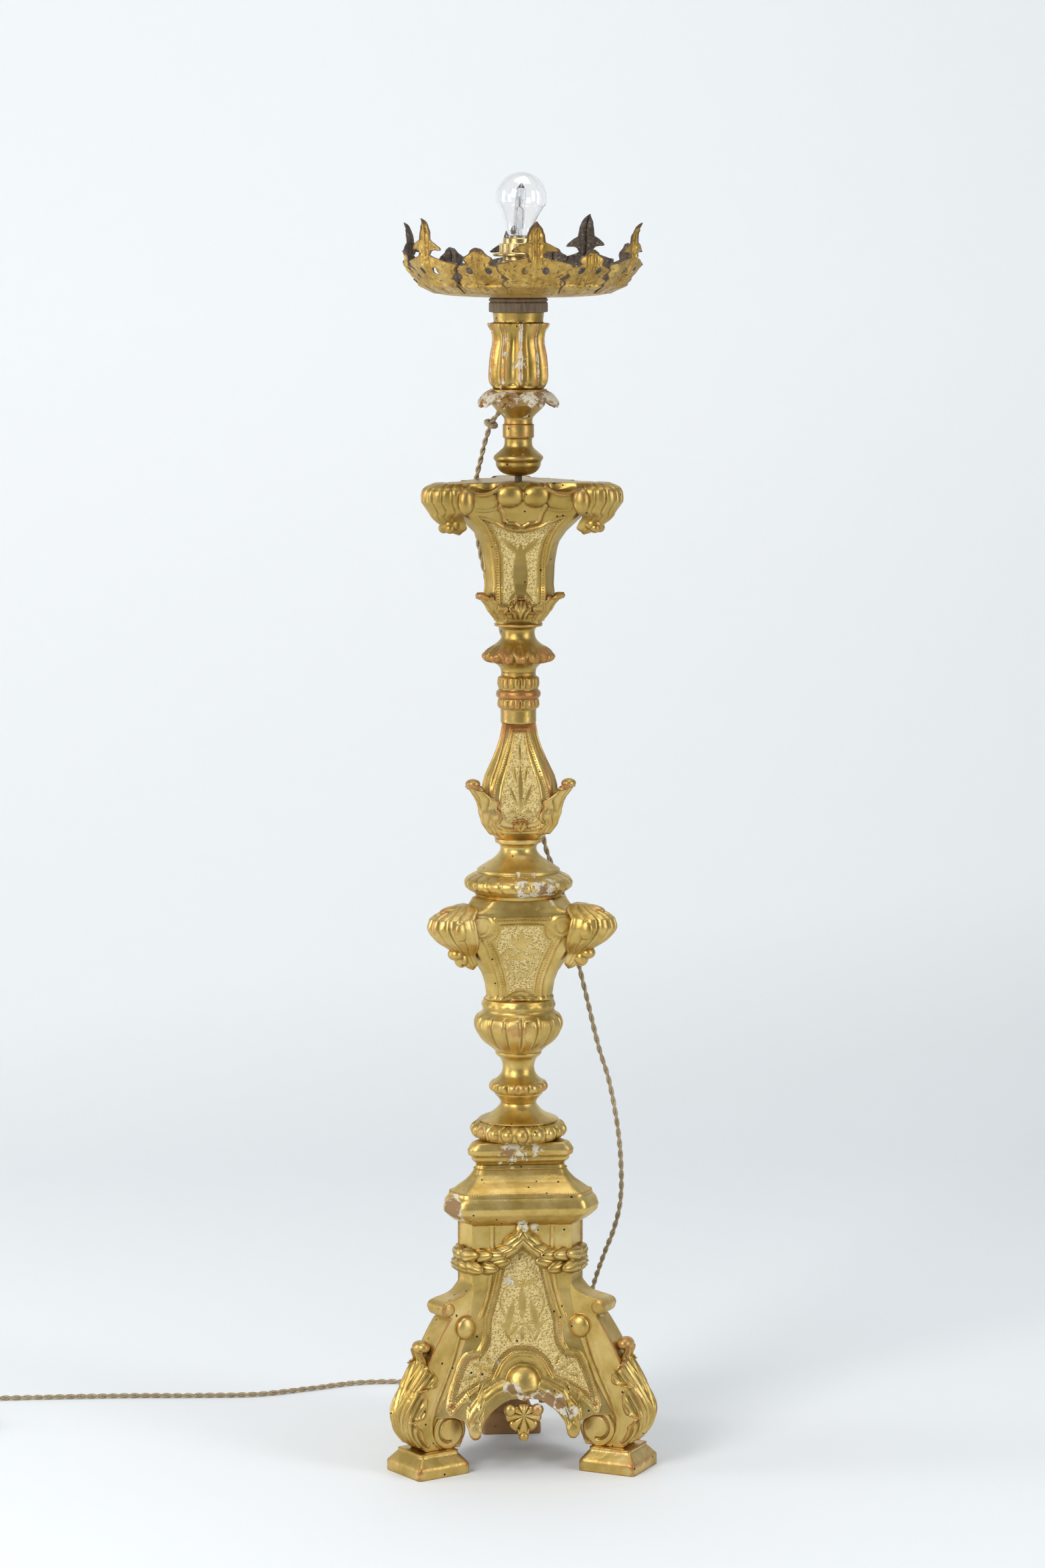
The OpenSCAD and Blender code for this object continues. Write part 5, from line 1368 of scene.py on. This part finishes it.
def coil_point(t):
    r = 45 - 6.6 * (2.75 - abs(t - 2.75))
    over = 1.1 * max(0.0, 1 - (abs(t - math.floor(t) - 0.5) * 9) ** 2)
    z = 3.1 + 6.6 * min(1.0, max(0.0, (t - 2.5) * 2)) + over
    a = math.radians(90 + 360 * t)
    return (-656 + r * math.cos(a), 251 + r * math.sin(a), z)


# turns of the stored coil and points in each, lead to the plug and height of its end, in mm
COIL_TURNS = 5.75
COIL_POINTS = 24
LEAD = 52
LEAD_END_Z = 7.2
# points' gap along the cord, way of a strand's middle from the cord's, and the strand's radius, in mm
CORD_GAP = 1.7
STRAND_OUT = 1.42
STRAND_R = 1.56
# length of one twist on the free stretch near the knot, down to this height, and on the rest, in mm
TIGHT_TWIST, TWIST, TIGHT_TO_Z = 21, 25, 1020


def cord():
    """Two strands twisted round the route, the coil and the lead to the plug."""
    coil = [coil_point(k / COIL_POINTS) for k in range(int(COIL_POINTS * COIL_TURNS) + 1)]
    end = coil[-1]
    lead = [(end[0], end[1] - LEAD * s,
             end[2] + (LEAD_END_Z - end[2]) * (1 if s > 0.8 else s * s * (3 - 2 * s) / 0.94))
            for s in (0.15, 0.35, 0.6, 0.85, 1)]
    middle = spaced(smooth(ROUTE, 6) + coil + lead, CORD_GAP)
    lay, turn = 0.0, []
    for p in middle:
        turn.append(lay)
        pitch = TIGHT_TWIST if p[2] > TIGHT_TO_Z else TWIST
        lay += math.tau * CORD_GAP / pitch
    strands = []
    for side in (0, math.pi):
        line = []
        for i, p in enumerate(middle):
            ahead = Vector(middle[min(i + 1, len(middle) - 1)]) - Vector(middle[max(i - 1, 0)])
            ahead.normalize()
            out = ahead.cross(Vector((0, 1, 0)) if abs(ahead.z) > 0.8 else Vector((0, 0, 1))).normalized()
            up = ahead.cross(out)
            round_it = math.cos(turn[i] + side) * out + math.sin(turn[i] + side) * up
            line.append(tuple(Vector(p) + STRAND_OUT * round_it))
        strands.append(wire(line, STRAND_R, 8))
    thing = piece(join(*strands), "twisted_cord", ["cord_run", "cord_coil"], (CORD,))


# ---- stage ----

def camera():
    """Camera where the photographer stood: a little to the left of the front, looking down 6.9 degrees."""
    data = bpy.data.cameras.new("camera")
    data.sensor_width = 36
    data.lens = 107.14
    data.clip_end = 50
    eye = bpy.data.objects.new("camera", data)
    scene.collection.objects.link(eye)
    yaw, pitch = math.radians(5.0), math.radians(6.891)
    eye.location = Vector((-5.078 * math.sin(yaw) + 0.0045 * math.cos(yaw), -5.078 * math.cos(yaw)
                          - 0.0045 * math.sin(yaw), 1.367))
    eye.rotation_euler = (math.pi / 2 - pitch, 0, -yaw)
    scene.camera = eye


def lamp(name, place, size, power, colour=(1, 1, 1)):
    data = bpy.data.lights.new(name, "AREA")
    data.shape = "RECTANGLE"
    data.size, data.size_y = size
    data.energy = power
    data.color = colour
    thing = bpy.data.objects.new(name, data)
    thing.location = place
    thing.rotation_euler = (Vector((0, 0, 0.75)) - Vector(place)).to_track_quat("-Z", "Y").to_euler()
    scene.collection.objects.link(thing)


# half width of the paper, its front edge, start and radius of its bend, and its top, in metres
PAPER_HALF = 7
PAPER_FRONT = -6
BEND_START = 1.6
BEND_R = 1.2
PAPER_TOP = 6


def stage():
    """Pale seamless floor and backdrop, soft boxes at both sides."""
    form = bmesh.new()
    bend = [(BEND_START + BEND_R * math.sin(math.radians(k)), BEND_R - BEND_R * math.cos(math.radians(k)))
            for k in range(6, 91, 6)]
    profile = [(PAPER_FRONT, 0), (BEND_START, 0)] + bend + [(BEND_START + BEND_R, PAPER_TOP)]
    line = [form.verts.new((-PAPER_HALF, y, z)) for y, z in profile]
    edges = [form.edges.new(pair) for pair in zip(line, line[1:])]
    out = bmesh.ops.extrude_edge_only(form, edges=edges)
    bmesh.ops.translate(form, verts=[v for v in out["geom"] if isinstance(v, bmesh.types.BMVert)],
                        vec=(2 * PAPER_HALF, 0, 0))
    bmesh.ops.recalc_face_normals(form, faces=form.faces)
    mesh = bpy.data.meshes.new("studio_floor")
    form.to_mesh(mesh)
    form.free()
    mesh.shade_smooth()
    floor = bpy.data.objects.new("studio_floor", mesh)
    scene.collection.objects.link(floor)
    f = Finish("studio_paper")
    part = f.tree.nodes.new("ShaderNodeSeparateXYZ")
    f.tree.links.new(f.place, part.inputs[0])
    # painted falloff of the light: the paper is darkest on the floor from the middle towards +x, brightest
    # about a metre up the backdrop and a little darker above
    high = f.math("MULTIPLY_ADD", part.outputs[0], -0.04, f.math("MULTIPLY", part.outputs[2], 0.4))
    f.link(f.ramp(high, (0.0, (0.85, 0.875, 0.885)), (0.08, (0.94, 0.965, 0.975)),
           (0.4, (0.955, 0.975, 0.985)), (0.8, (0.93, 0.955, 0.965))), "Base Color")
    f.set(Roughness=0.9)
    floor.data.materials.append(f.material)
    world = bpy.data.worlds.new("studio")
    scene.world = world
    world.use_nodes = True
    tree = world.node_tree
    # pale behind the object, a dimmer room behind the camera
    way = tree.nodes.new("ShaderNodeTexCoord").outputs["Generated"]
    part = tree.nodes.new("ShaderNodeSeparateXYZ")
    tree.links.new(way, part.inputs[0])
    fade = tree.nodes.new("ShaderNodeMapRange")
    for socket, value in zip(fade.inputs[1:5], (-0.35, 0.35, 0.26, 0.6)):
        socket.default_value = value
    tree.links.new(part.outputs["Y"], fade.inputs["Value"])
    back = tree.nodes["Background"]
    back.inputs["Color"].default_value = (0.88, 0.93, 1.0, 1)
    tree.links.new(fade.outputs["Result"], back.inputs["Strength"])
    lamp("key", (-2.4, -2.9, 2.6), (1.5, 2.6), 94, (1.0, 0.985, 0.96))
    lamp("fill", (2.9, -2.2, 1.7), (1.0, 2.6), 44, (0.97, 0.98, 1.0))
    lamp("left_edge", (-3.0, 0.2, 1.2), (0.8, 2.6), 26)
    lamp("top", (0.2, -0.3, 4.2), (2.4, 2.4), 42)
    scene.view_settings.view_transform = "Standard"


camera()
cord()
stage()
feet()
legs()
leg_leaves()
aprons()
pendants()
garland()
cap()
plinth()
egg_torus()
spool()
gadrooned_cup()
mid_vase()
mid_ears()
gadroon_ring()
pear()
pear_leaves()
mid_calyx()
reeded_collars()
leaf_ring()
upper_vase()
upper_ears()
vase_calyx()
knop()
petal_flange()
candle_cup()
bulb()
crown("gilt_tall_leaves", "tall_leaves", TALL, TALL_HALF, 69, 0.2)
crown("gilt_low_leaves", "low_leaves", LOW, LOW_HALF, 41, -1.6)
for node, finish in (("base_core", BARE_WOOD), ("top_disc", DARK_WOOD), ("iron_pin", IRON),
                     ("drip_pan", CROWN_GOLD), ("threaded_tube", BRASS), ("lock_nut", BRASS),
                     ("holder_cap", BRASS), ("holder_shell", BRASS), ("shade_ring", BRASS),
                     ("holder_insert", CERAMIC), ("bulb_cap", STEEL), ("bulb_capsule", CAPSULE),
                     ("cord_tie", TIE), ("cord_knot", CORD), ("plug_body", PLUG), ("plug_prongs", STEEL)):
    dress(node, finish)
